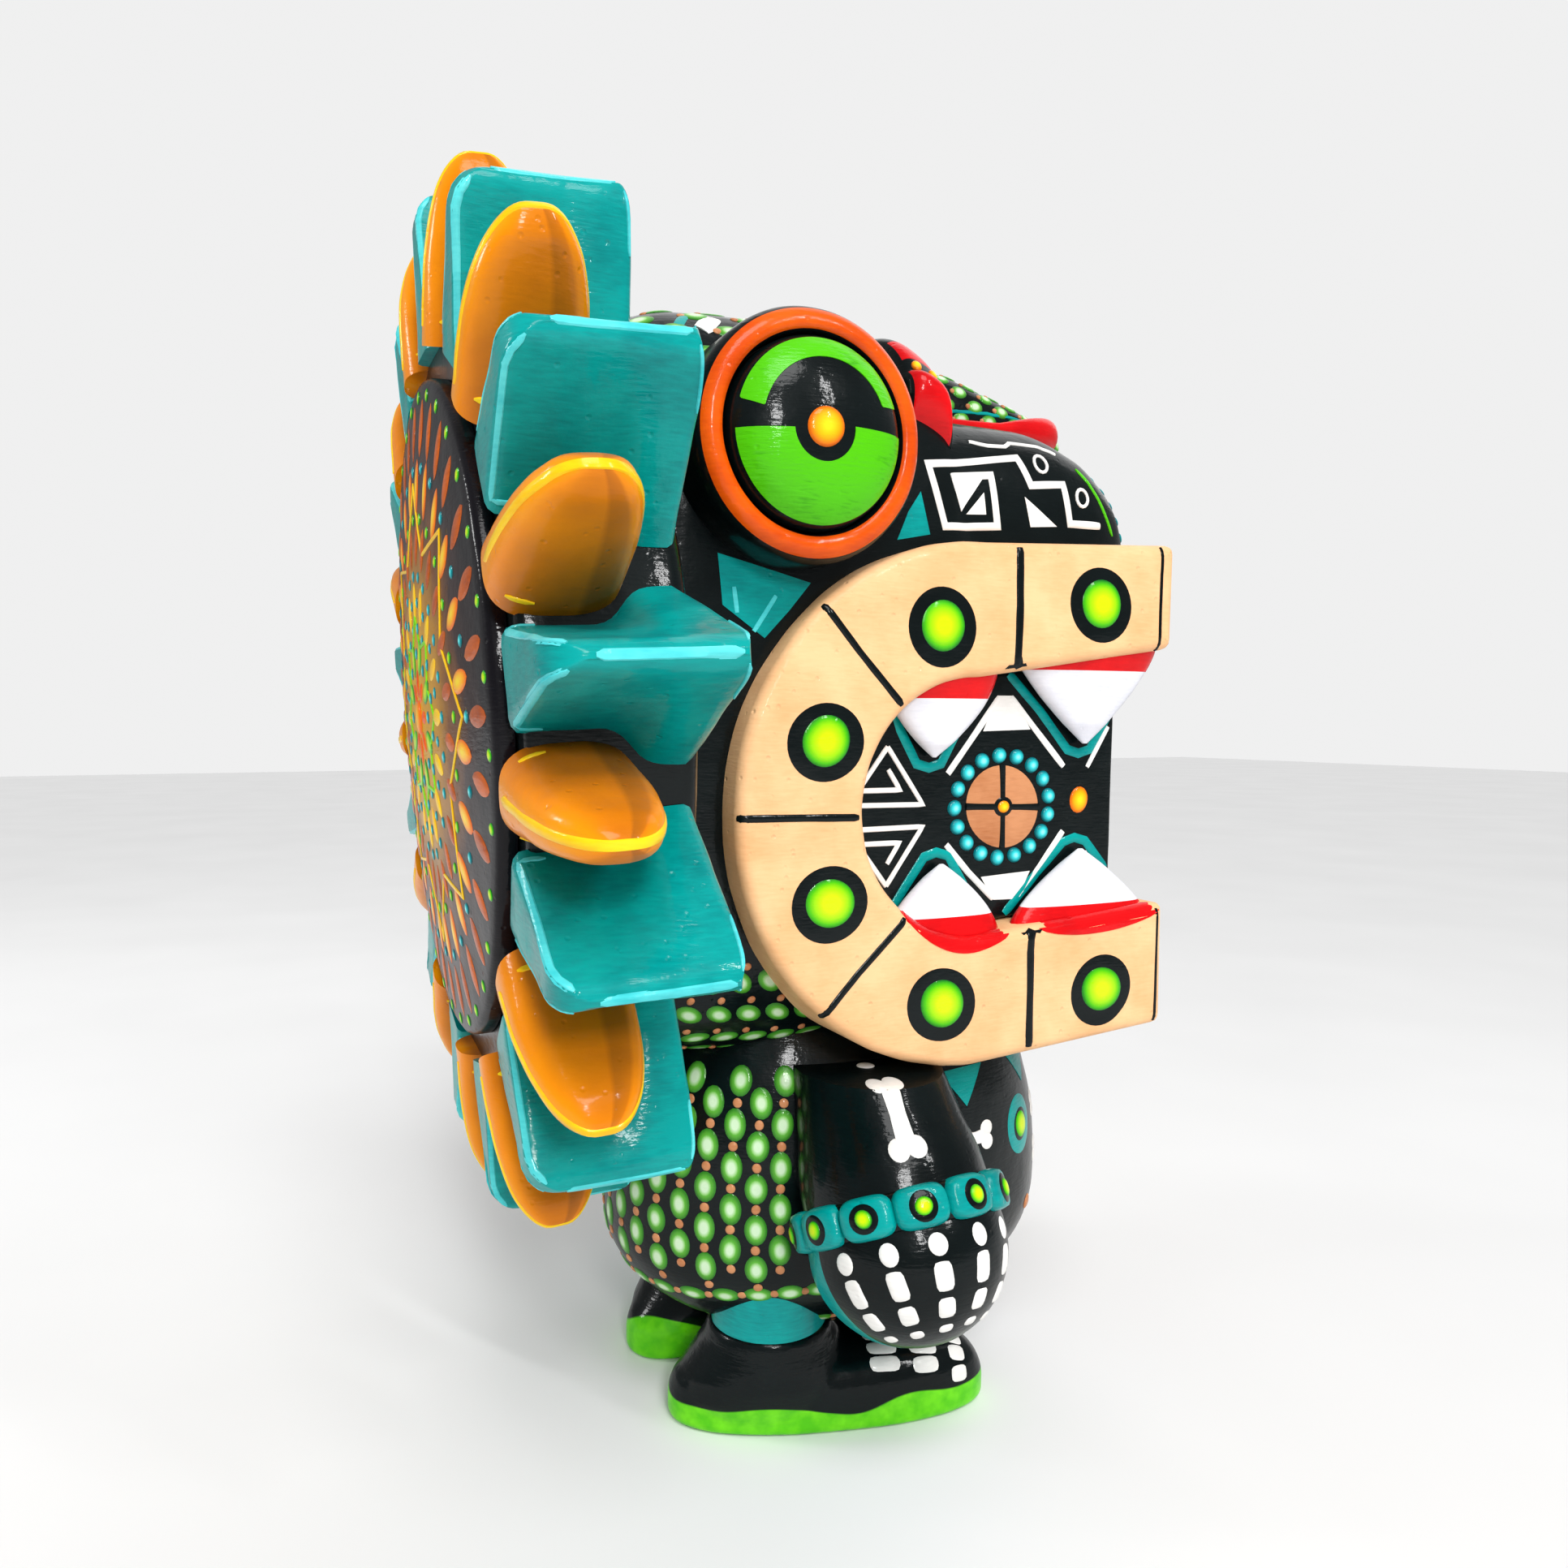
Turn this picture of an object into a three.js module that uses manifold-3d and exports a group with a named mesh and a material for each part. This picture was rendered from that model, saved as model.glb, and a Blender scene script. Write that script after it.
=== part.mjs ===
// Plumed-serpent alebrije: a carved and painted wooden figure, about 300 mm tall.
// Millimetres, +Z up, soles on z = 0. The figure faces -Y and its right hand is on -X.
// It is an assembly: a drum with 26 pegged feathers, a head block with applied lips,
// teeth, eyes, brow and nose, and a torso with pegged arms, hands, legs and shoes.
import * as THREE from "three";
import { mergeVertices } from "three/addons/utils/BufferGeometryUtils.js";
import Module from "manifold-3d";

const wasm = await Module();
wasm.setup();

const GAP = 0.3;
const BLACK = { color: 0x0c1416, roughness: 0.18, metalness: 0 };
const TEAL = { color: 0x00838a, roughness: 0.22, metalness: 0 };
const ORANGE = { color: 0xf08c0a, roughness: 0.22, metalness: 0 };
const PEACH = { color: 0xf2c593, roughness: 0.45, metalness: 0 };
const WHITE = { color: 0xf1efe9, roughness: 0.4, metalness: 0 };
const RED = { color: 0xd3121d, roughness: 0.25, metalness: 0 };
const FLAME = { color: 0xf0560e, roughness: 0.25, metalness: 0 };
const OCHRE = { color: 0xa8791a, roughness: 0.25, metalness: 0 };
const GREEN = { color: 0x5cc81e, roughness: 0.22, metalness: 0 };
const WOOD = { color: 0xd9b98a, roughness: 0.7, metalness: 0 };

// Crest: a leaning drum ringed by feathers, teal wedge and orange petal in turn.
const FEATHERS = 26;
const CREST_FORWARD = -62;
const CREST_UP = 180.5;
const CREST_LEAN = THREE.MathUtils.degToRad(2.5);
const CREST_YAW = THREE.MathUtils.degToRad(1.6);
const CREST_TURN = THREE.MathUtils.degToRad(2.7);
const DRUM_RADIUS = 84;
const DRUM_BACK = -14;
const DRUM_FRONT = 19;
const DRUM_SIDES = 52;
const DRUM_BACK_EASE = 1.5;
const DRUM_FRONT_EASE = 4;
const DISC_RADIUS = 76;
const DISC_EDGE = 4;
const DISC_DOME = 4;
const DISC_EASE = 1.5;
const DISC_SHOULDER = 0.6;
const TEAL_TIP = 117.5;
const TEAL_MIDDLE = 0.3;
const TEAL_HALF_LENGTH = 17;
const TEAL_TIP_HALF = 2.2;
const TEAL_CORNER = 8;
const TEAL_FRONT_INSET = 0.55;
const TEAL_SHIFT = 0.3;
const TEAL_RIDGE = 0.6;
// Root footprint of a teal wedge, [share of half length, half width], back to front:
// narrow beside the petals and wide in front of them.
const TEAL_FOOTPRINT = [
  [-1, 7.5],
  [-0.93, 9.4],
  [0.12, 9.4],
  [0.45, 16.2],
  [0.92, 16.6],
  [1, 14.5],
];
const ORANGE_TIP = 120;
const ORANGE_MIDDLE = -6.5;
const ORANGE_HALF_LENGTH = 12.3;
const ORANGE_ROOT_HALF = 9.2;
const ORANGE_SLIMMING = 0.62;
const ORANGE_ARCH = 2.6;
const ORANGE_FILL = 1.9;
const ORANGE_END = 0.08;
const ORANGE_SQUARENESS = 2.8;
const PEG_HALF_LENGTH = 5;
const PEG_HALF_WIDTH = 4;
const PEG_LENGTH = 8;
const PEG_OVERLAP = 2;
const CREST_TENON_HALF = 15;
const CREST_TENON_LENGTH = 16;
const CREST_TENON_ROOT = 6;
const CREST_TENON_SQUARENESS = 8;
const TENON_POINTS = 12;

// Head: stations along the forward direction, each [forward, top, bottom, half width].
const HEAD_STATIONS = [
  [-45.2, 270, 101, 43],
  [-30, 275, 97, 46],
  [0, 276, 95, 47],
  [22, 273, 95, 47],
  [34, 268, 95, 47],
  [41, 251, 95, 47],
  [52, 246, 96, 47],
  [64, 238, 97, 46.5],
  [80, 226, 99, 46],
  [86, 222, 101, 45],
  [88.5, 218, 105, 42],
];
const SNOUT_STATIONS = [
  [30, 257, 200, 44],
  [62, 256, 200, 45],
  [76, 252, 200, 44.5],
  [85.5, 246, 200, 42],
  [92, 238, 202, 38],
  [96, 230, 205, 32],
  [98, 222, 210, 24],
];
const HEAD_SQUARENESS = 3.6;
const SNOUT_SQUARENESS = 3;
const RING_POINTS = 24;
const FEATHER_POINTS = 10;

// Mouth and the C-shaped lips round it.
const MOUTH_FORWARD = 37;
const MOUTH_UP = 158;
const MOUTH_RADIUS = 31;
const MOUTH_TOP_FRONT = 195;
const MOUTH_BOTTOM_FRONT = 131;
const LIP_RADIUS = 62.7;
const LIP_FRONT = 95;
const LIP_TOP_FRONT = 223;
const LIP_BOTTOM_FRONT = 100;
const LIP_OUTER = 55;
const LIP_INNER = 36;
const LIP_BEVEL = 2;
const CORE_HALF_WIDTH = 44;
const CORE_FRONT = 86;
const ARC_STEPS = 14;
const FRONT_LIP_HALF = 45;
const FRONT_LIP_BACK = 88;
const LIP_BACK_FACE = 88.5;
// Cutting bodies run past the pieces they cut, and stand this wide and this high.
const PAST = 20;
const CUT_HALF = 90;
const CUT_TOP = 300;
const SHELF_BOTTOM = 150;

// Teeth: [root start, root end, root up, tip forward, tip up] in the side view.
const TEETH = [
  ["upper_rear", 14, 45, 190, 29.5, 170],
  ["upper_front", 50, 94, 196, 74.5, 173],
  ["lower_rear", 15, 47, 126.5, 32, 144],
  ["lower_front", 51, 94, 128, 74, 146],
];
const TOOTH_RISES = [0, 0.35, 0.7, 0.92, 1];
const TOOTH_TAPER = 0.93;
const TOOTH_CURVE = 1.3;
const TOOTH_THINNING = 0.55;
const TOOTH_SQUARENESS = 3;
const TOOTH_POINTS = 12;
const TOOTH_OUTER = 53;
const TOOTH_INNER = 44.4;

// Eyes.
const EYE_FORWARD = -9.5;
const EYE_UP = 239.5;
const EYE_RADIUS = 27;
const EYE_OUTER = 60;
const EYE_ROOT = 20;
const DOME_RADIUS = 20.4;
const DOME_TOP = 67;
const EYE_SIDES = 24;
const EYE_SEAT = 7;
const DOME_STEP = 2;
const DOME_LEVELS = 4;
// Rim cross-section, [distance in from the rim's radius, distance back from its outer face].
const RIM_EDGE = [
  [0, 4],
  [1.5, 1.2],
  [3.5, 0],
];
const RIM_LIP_WIDTH = 1;
const RIM_LIP_DROP = 0.8;
const RIM_INNER_DROP = 2.5;

// Brow and nose.
const BROW_BACK = 24;
const BROW_FRONT = 35;
const BROW_LIFT = 4;
const BROW_FLOOR = 247;
const BROW_STATION_FRONT = 64;
const NOSE_STATIONS = [
  [36, 273, 254, 11],
  [42, 274.5, 250, 14],
  [54, 273, 246, 15.5],
  [64, 270, 246, 16.5],
  [76, 266, 247, 17.5],
  [86, 262.5, 248, 17],
  [93, 260.5, 249, 13.5],
  [97, 258, 251, 8],
];
const NOSE_SQUARENESS = 2.6;
const NOSE_POINTS = 14;

// Torso, an egg wider in front of the legs.
const TORSO_FORWARD = 24;
const TORSO_UP = 52;
const TORSO_HALF_LENGTH = 63;
const TORSO_HALF_WIDTH = 44;
const TORSO_DOWN = 35;
const TORSO_FULLNESS = 2.4;
const TORSO_RISE = 72;
const TORSO_LEVELS = [-0.998, -0.97, -0.88, -0.7, -0.45, -0.15, 0.15, 0.4, 0.58, 0.74];
const TORSO_SQUARENESS = 2.15;
const NECK_RADIUS = 12;
const NECK_BOTTOM = 68;
const NECK_TOP = 122;
const DOWEL_SIDES = 20;

// Arms, bracelets and hands along an axis that runs down and outward from the shoulder.
const WRIST_FORWARD = 15.5;
const WRIST_SIDE = 56;
const WRIST_UP = 63;
const ARM_AXIS = [-0.03, -0.46, 0.887];
const ARM_RINGS = [
  [0, 22.4],
  [8, 22.2],
  [20, 20.2],
  [36, 17.5],
  [52, 15],
];
const ARM_TOP = 94.6;
const SHOULDER_RADIUS = 6;
const SHOULDER_FORWARD = 14;
const SHOULDER_UP = 82;
const SHOULDER_IN = 22;
const SHOULDER_OUT = 46;
const PEG_SIDES = 16;
const ARM_SIDES = 24;
const WRIST_RADIUS = 7;
const WRIST_PEG_LENGTH = 26;
const WRIST_PEG_DROP = 1;
const WRIST_CUT_HALF = 60;
const WRIST_CUT_HEIGHT = 60;
const BRACELET_RADIUS = 26;
const BRACELET_HALF = 4.4;
const PLAQUES = 12;
const PLAQUE_GROOVE = 1.8;
const PLAQUE_SHARE = 0.72;
const PLAQUE_TURN = THREE.MathUtils.degToRad(14);
const BRACELET_BEVEL = 1.2;
const HAND_RADIUS = 23.4;
const HAND_HALF_LENGTH = 22.5;
const HAND_DROP = 7.5;
const HAND_SIDES = 20;
const HAND_RINGS = 12;

// Legs and shoes.
const ANKLE_FORWARD = -3;
const ANKLE_SIDE = 22;
const ANKLE_RADIUS = 15;
const ANKLE_TOP = 38;
const LEG_PEG_RADIUS = 7;
const LEG_PEG_TOP = 48;
const LEG_PEG_BOTTOM = 8;
const COLLAR_BOTTOM = 3;
const COLLAR_TOP = 21;
const ANKLE_CUT_TOP = 60;
const LEG_SIDES = 24;
const SHOE_FORWARD = 12;
const SHOE_SIDE = 26;
const SHOE_TURN = THREE.MathUtils.degToRad(15);
const SHOE_ANKLE = -15.5;
const COLLAR_RADIUS = 16.3;
const SHOE_SQUARENESS = 2.3;
const SHOE_POINTS = 20;
// [up, half length, half width, shift toward the toe]
const SHOE_RINGS = [
  [0, 40.5, 14.3, 0],
  [1.5, 42, 15.7, 0],
  [6, 42, 15.7, 0],
  [11, 40.5, 15.2, 0],
  [15.5, 34, 13.2, 2],
  [18, 23, 9, 4],
  [19, 10, 4, 6],
];

// A point of the figure from its forward, rightward and upward distances.
const at = (forward, right, up) => new THREE.Vector3(-right, -forward, up);

// Superellipse offsets, two numbers per step round the ring.
function superellipse(count, halfA, halfB, power) {
  const out = [];
  for (let i = 0; i < count; i++) {
    const t = (2 * Math.PI * (i + 0.5)) / count;
    const c = Math.cos(t);
    const s = Math.sin(t);
    const a = halfA * Math.sign(c) * Math.abs(c) ** (2 / power);
    const b = halfB * Math.sign(s) * Math.abs(s) ** (2 / power);
    out.push([a, b]);
  }
  return out;
}

// A closed body through rings of points, each end fanned to its own middle.
function loft(rings) {
  const count = rings[0].length;
  const points = rings.flat();
  const index = [];
  for (let r = 0; r + 1 < rings.length; r++) {
    for (let i = 0; i < count; i++) {
      const j = (i + 1) % count;
      const a = r * count + i;
      const b = r * count + j;
      index.push(a, b, b + count, a, b + count, a + count);
    }
  }
  const first = points.length;
  for (const ring of [rings[0], rings[rings.length - 1]]) {
    const middle = new THREE.Vector3();
    ring.forEach((p) => middle.addScaledVector(p, 1 / count));
    points.push(middle);
  }
  const last = (rings.length - 1) * count;
  for (let i = 0; i < count; i++) {
    const j = (i + 1) % count;
    index.push(first, j, i, first + 1, last + i, last + j);
  }
  const geometry = new THREE.BufferGeometry().setFromPoints(points);
  geometry.setIndex(index);
  return solid(geometry);
}

// A three.js geometry as a manifold solid facing outwards.
function solid(geometry) {
  const bare = geometry.clone();
  bare.deleteAttribute("normal");
  bare.deleteAttribute("uv");
  const merged = mergeVertices(bare, 1e-4);
  const vertProperties = new Float32Array(merged.attributes.position.array);
  const triVerts = new Uint32Array(merged.index.array);
  if (signedVolume(vertProperties, triVerts) < 0) triVerts.reverse();
  return new wasm.Manifold(new wasm.Mesh({ numProp: 3, vertProperties, triVerts }));
}

function signedVolume(p, t) {
  let sum = 0;
  const a = new THREE.Vector3();
  const b = new THREE.Vector3();
  const c = new THREE.Vector3();
  for (let i = 0; i < t.length; i += 3) {
    a.fromArray(p, 3 * t[i]);
    b.fromArray(p, 3 * t[i + 1]);
    c.fromArray(p, 3 * t[i + 2]);
    sum += a.dot(b.cross(c));
  }
  return sum;
}

function placed(geometry, matrix) {
  return solid(geometry.clone().applyMatrix4(matrix));
}

const mirrored = (body) => body.mirror([1, 0, 0]);

const figure = new THREE.Group();

function add(name, body, finish) {
  const m = body.getMesh();
  const geometry = new THREE.BufferGeometry();
  const positions = new THREE.BufferAttribute(new Float32Array(m.vertProperties), 3);
  geometry.setAttribute("position", positions);
  geometry.setIndex(new THREE.BufferAttribute(new Uint32Array(m.triVerts), 1));
  const flat = geometry.toNonIndexed();
  flat.computeVertexNormals();
  const mesh = new THREE.Mesh(flat, new THREE.MeshStandardMaterial(finish));
  mesh.name = name;
  figure.add(mesh);
}

// The body on the figure's right and its mirror image on the left.
function addPair(name, body, finish) {
  add(name + "_right", body, finish);
  add(name + "_left", mirrored(body), finish);
}

// A box from the corner nearest the back, right and ground to the opposite one.
function box(back, front, right, left, bottom, top) {
  const geometry = new THREE.BoxGeometry(left - right, front - back, top - bottom);
  const middle = at((back + front) / 2, (right + left) / 2, (bottom + top) / 2);
  return placed(geometry, new THREE.Matrix4().setPosition(middle));
}

// An upright round bar.
function post(forward, right, radius, bottom, top, sides) {
  const geometry = new THREE.CylinderGeometry(radius, radius, top - bottom, sides);
  geometry.rotateX(Math.PI / 2);
  const middle = at(forward, right, (bottom + top) / 2);
  return placed(geometry, new THREE.Matrix4().setPosition(middle));
}

// Lathe about the sideways axis: profile of [radius, sideways] from axis to axis.
function turnedSideways(profile, forward, up, sides) {
  const points = profile.map(([radius, side]) => new THREE.Vector2(radius, side));
  const geometry = new THREE.LatheGeometry(points, sides);
  geometry.rotateZ(Math.PI / 2);
  return placed(geometry, new THREE.Matrix4().setPosition(at(forward, 0, up)));
}

// The crest leans back a little and its right side sits a little further back.
const crestMatrix = new THREE.Matrix4()
  .makeRotationZ(-CREST_YAW)
  .multiply(new THREE.Matrix4().makeRotationX(-CREST_LEAN))
  .setPosition(at(CREST_FORWARD, 0, CREST_UP));

// Crest frame: radial, around and axial distances turned into a figure point.
function crestPoint(angle, radial, around, axial) {
  const outward = radial * Math.cos(angle) - around * Math.sin(angle);
  const right = radial * Math.sin(angle) + around * Math.cos(angle);
  return at(axial, right, outward).applyMatrix4(crestMatrix);
}

function crestRing(angle, radial, middle, halfLength, halfWidth, power) {
  const offsets = superellipse(FEATHER_POINTS, halfLength, halfWidth, power);
  return offsets.map(([a, w]) => crestPoint(angle, radial, w, middle + a));
}

// The square peg under a feather, from inside the drum out to a radius.
function peg(angle, middle, grow, outer) {
  const inner = DRUM_RADIUS - PEG_LENGTH - grow;
  const l = PEG_HALF_LENGTH + grow;
  const w = PEG_HALF_WIDTH + grow;
  const corners = [[l, w], [-l, w], [-l, -w], [l, -w]];
  return loft(
    [inner, outer].map((radial) =>
      corners.map(([a, t]) => crestPoint(angle, radial, t, middle + a)),
    ),
  );
}

// Outline across a teal wedge, part way from its root to its thin tip.
function tealRing(angle, radial, middle, halfLength, rise, end) {
  const side = TEAL_FOOTPRINT.map(([share, width]) => [
    halfLength * share,
    THREE.MathUtils.lerp(width, TEAL_TIP_HALF, rise) * end,
  ]);
  const far = side.map(([a, w]) => [a, -w]).reverse();
  return [...side, ...far].map(([a, w]) => crestPoint(angle, radial, w, middle + a));
}

function tealFeather(angle) {
  const root = DRUM_RADIUS + GAP;
  const rings = [];
  const drops = [TEAL_TIP - root, TEAL_CORNER, TEAL_CORNER * 0.3, 0];
  for (const drop of drops) {
    const rise = 1 - drop / (TEAL_TIP - root);
    const over = Math.max(0, TEAL_CORNER - drop);
    const inset = TEAL_CORNER - Math.sqrt(TEAL_CORNER ** 2 - over ** 2);
    const end = drop === 0 ? TEAL_RIDGE : 1;
    const half = TEAL_HALF_LENGTH - inset * TEAL_FRONT_INSET;
    const middle = TEAL_MIDDLE + inset * TEAL_SHIFT;
    rings.push(tealRing(angle, TEAL_TIP - drop, middle, half, rise, end));
  }
  return loft(rings).add(peg(angle, TEAL_MIDDLE, 0, root + PEG_OVERLAP));
}

function orangeFeather(angle) {
  const root = DRUM_RADIUS + GAP;
  const rings = [];
  for (const rise of [0, 0.4, 0.75, 0.94, 1]) {
    const radial = THREE.MathUtils.lerp(root, ORANGE_TIP, rise);
    const arch = Math.sqrt(1 - (rise * 0.97) ** ORANGE_ARCH);
    const slim = 1 - ORANGE_SLIMMING * rise;
    const width = ORANGE_ROOT_HALF * slim * Math.min(1, arch * ORANGE_FILL);
    const length = ORANGE_HALF_LENGTH * (ORANGE_END + (1 - ORANGE_END) * arch);
    rings.push(crestRing(angle, radial, ORANGE_MIDDLE, length, width, ORANGE_SQUARENESS));
  }
  return loft(rings).add(peg(angle, ORANGE_MIDDLE, 0, root + PEG_OVERLAP));
}

// A round body about the crest axis: profile of [radius, axial] from axis to axis.
function crestTurned(profile) {
  const points = profile.map(([radius, axial]) => new THREE.Vector2(radius, axial));
  const geometry = new THREE.LatheGeometry(points, DRUM_SIDES);
  geometry.rotateX(Math.PI);
  return placed(geometry, crestMatrix);
}

function crestTenon(grow) {
  const half = CREST_TENON_HALF + grow;
  const front = DRUM_FRONT + CREST_TENON_LENGTH + grow;
  return loft(
    [DRUM_FRONT - CREST_TENON_ROOT, front].map((axial) =>
      superellipse(TENON_POINTS, half, half, CREST_TENON_SQUARENESS).map(([r, w]) => crestPoint(0, r, w, axial)),
    ),
  );
}

function drumBody(grow) {
  return crestTurned([
    [0, DRUM_BACK - grow],
    [DRUM_RADIUS + grow - DRUM_BACK_EASE, DRUM_BACK - grow],
    [DRUM_RADIUS + grow, DRUM_BACK - grow + DRUM_BACK_EASE],
    [DRUM_RADIUS + grow, DRUM_FRONT + grow - DRUM_FRONT_EASE],
    [DRUM_RADIUS + grow - DRUM_FRONT_EASE, DRUM_FRONT + grow],
    [0, DRUM_FRONT + grow],
  ]);
}

function buildCrest() {
  let core = drumBody(0).add(crestTenon(0));
  for (let i = 0; i < FEATHERS; i++) {
    const angle = CREST_TURN + (2 * Math.PI * i) / FEATHERS;
    const teal = i % 2 === 0;
    const middle = teal ? TEAL_MIDDLE : ORANGE_MIDDLE;
    core = core.subtract(peg(angle, middle, GAP, DRUM_RADIUS + PAST));
    const label = String(i + 1).padStart(2, "0");
    if (teal) add("feather_teal_" + label, tealFeather(angle), TEAL);
    else add("feather_orange_" + label, orangeFeather(angle), ORANGE);
  }
  const back = DRUM_BACK - GAP;
  const disc = crestTurned([
    [0, back - DISC_EDGE - DISC_DOME],
    [DISC_RADIUS * DISC_SHOULDER, back - DISC_EDGE - DISC_DOME * (1 - DISC_SHOULDER ** 2)],
    [DISC_RADIUS - DISC_EASE, back - DISC_EDGE],
    [DISC_RADIUS, back - DISC_EDGE + DISC_EASE],
    [DISC_RADIUS, back],
    [0, back],
  ]);
  add("crest_core", core, BLACK);
  add("crest_disc", disc, OCHRE);
}

// A body through stations of [forward, top, bottom, half width].
function stationLoft(stations, power, grow, count = RING_POINTS) {
  const rings = stations.map(([forward, top, bottom, half], i) => {
    const ends = i === 0 ? -grow : i === stations.length - 1 ? grow : 0;
    const middle = (top + bottom) / 2;
    const rise = (top - bottom) / 2 + grow;
    const offsets = superellipse(count, half + grow, rise, power);
    return offsets.map(([s, u]) => at(forward + ends, s, middle + u));
  });
  return loft(rings);
}

// The snout overhangs the front lip, so its underside is cut level there.
function headForm(grow) {
  const underside = LIP_TOP_FRONT + GAP - grow;
  const back = LIP_BACK_FACE + grow;
  const shelf = box(back, LIP_FRONT + PAST, -CUT_HALF, CUT_HALF, SHELF_BOTTOM, underside);
  const snout = stationLoft(SNOUT_STATIONS, SNOUT_SQUARENESS, grow).subtract(shelf);
  return stationLoft(HEAD_STATIONS, HEAD_SQUARENESS, grow).add(snout);
}

// Outline in the side view of a C opening to the front, as [forward, up] points.
function jawOutline(radius, front, topFront, bottomFront) {
  const points = [[front, topFront]];
  for (let i = 0; i <= ARC_STEPS; i++) {
    const t = Math.PI / 2 + (Math.PI * i) / ARC_STEPS;
    const forward = MOUTH_FORWARD + radius * Math.cos(t);
    const up = MOUTH_UP + radius * Math.sin(t);
    points.push([forward, up]);
  }
  points.push([front, bottomFront]);
  return points;
}

// A side-view outline extruded sideways between two distances from the middle.
function sidePlate(outline, inner, outer, bevel) {
  const shape = new THREE.Shape(outline.map(([f, u]) => new THREE.Vector2(-f, u)));
  const geometry = new THREE.ExtrudeGeometry(shape, {
    depth: outer - inner - 2 * bevel,
    bevelEnabled: bevel > 0,
    bevelSize: bevel,
    bevelOffset: -bevel,
    bevelThickness: bevel,
    bevelSegments: 2,
    curveSegments: 1,
  });
  const matrix = new THREE.Matrix4().makeBasis(
    new THREE.Vector3(0, 1, 0),
    new THREE.Vector3(0, 0, 1),
    new THREE.Vector3(1, 0, 0),
  );
  matrix.setPosition(-outer + bevel, 0, 0);
  return placed(geometry, matrix);
}

const mouthOutline = (shrink) =>
  jawOutline(
    MOUTH_RADIUS - shrink,
    LIP_FRONT + PAST,
    MOUTH_TOP_FRONT + 2 - shrink,
    MOUTH_BOTTOM_FRONT + 1 + shrink,
  );

function lipBody(grow) {
  const top = LIP_TOP_FRONT + grow;
  const bottom = LIP_BOTTOM_FRONT - grow;
  const outline = jawOutline(LIP_RADIUS + grow, LIP_FRONT + grow, top, bottom);
  const plate = sidePlate(outline, LIP_INNER, LIP_OUTER + grow, LIP_BEVEL);
  const hole = sidePlate(mouthOutline(grow), LIP_INNER - PAST, LIP_OUTER + PAST, 0);
  return plate.subtract(hole);
}

function frontLip(bottom, top) {
  const outline = [
    [FRONT_LIP_BACK, bottom],
    [LIP_FRONT, bottom],
    [LIP_FRONT, top],
    [FRONT_LIP_BACK, top],
  ];
  return sidePlate(outline, -FRONT_LIP_HALF, FRONT_LIP_HALF, LIP_BEVEL);
}

function tooth(start, end, rootUp, tipForward, tipUp) {
  const middle = (start + end) / 2;
  const rings = TOOTH_RISES.map((rise) => {
    const taper = 1 - TOOTH_TAPER * rise ** TOOTH_CURVE;
    const forward = THREE.MathUtils.lerp(middle, tipForward, rise);
    const up = THREE.MathUtils.lerp(rootUp, tipUp, rise);
    const thick = ((TOOTH_OUTER - TOOTH_INNER) / 2) * (1 - TOOTH_THINNING * rise);
    const side = TOOTH_INNER + thick;
    const half = ((end - start) / 2) * taper;
    const offsets = superellipse(TOOTH_POINTS, half, thick, TOOTH_SQUARENESS);
    return offsets.map(([f, s]) => at(forward + f, side + s, up));
  });
  return loft(rings);
}

function eyeRim() {
  return turnedSideways(
    [
      [0, EYE_ROOT],
      [EYE_RADIUS, EYE_ROOT],
      ...RIM_EDGE.map(([inset, drop]) => [EYE_RADIUS - inset, EYE_OUTER - drop]),
      [DOME_RADIUS + RIM_LIP_WIDTH, EYE_OUTER - RIM_LIP_DROP],
      [DOME_RADIUS + GAP, EYE_OUTER - RIM_INNER_DROP],
      [DOME_RADIUS + GAP, EYE_OUTER - EYE_SEAT],
      [0, EYE_OUTER - EYE_SEAT],
    ],
    EYE_FORWARD,
    EYE_UP,
    EYE_SIDES,
  );
}

function eyeDome() {
  const base = EYE_OUTER - EYE_SEAT + GAP;
  const rise = DOME_TOP - EYE_OUTER + DOME_STEP;
  const profile = [
    [0, base],
    [DOME_RADIUS, base],
  ];
  for (let i = 0; i <= DOME_LEVELS; i++) {
    const t = (Math.PI / 2) * (i / DOME_LEVELS);
    profile.push([DOME_RADIUS * Math.cos(t), EYE_OUTER - DOME_STEP + rise * Math.sin(t)]);
  }
  profile[profile.length - 1][0] = 0;
  return turnedSideways(profile, EYE_FORWARD, EYE_UP, EYE_SIDES);
}

function eyePocket() {
  const reach = EYE_RADIUS + GAP;
  const profile = [
    [0, EYE_ROOT - GAP],
    [reach, EYE_ROOT - GAP],
    [reach, EYE_OUTER + PAST],
    [0, EYE_OUTER + PAST],
  ];
  return turnedSideways(profile, EYE_FORWARD, EYE_UP, EYE_SIDES);
}

const noseForm = (grow) => stationLoft(NOSE_STATIONS, NOSE_SQUARENESS, grow, NOSE_POINTS);

function browBody() {
  const stations = HEAD_STATIONS.filter(([f]) => f >= 0 && f <= BROW_STATION_FRONT);
  const lifted = stationLoft(stations, HEAD_SQUARENESS, BROW_LIFT);
  const band = box(BROW_BACK, BROW_FRONT, -CUT_HALF, CUT_HALF, BROW_FLOOR, CUT_TOP);
  return lifted.intersect(band);
}

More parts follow.
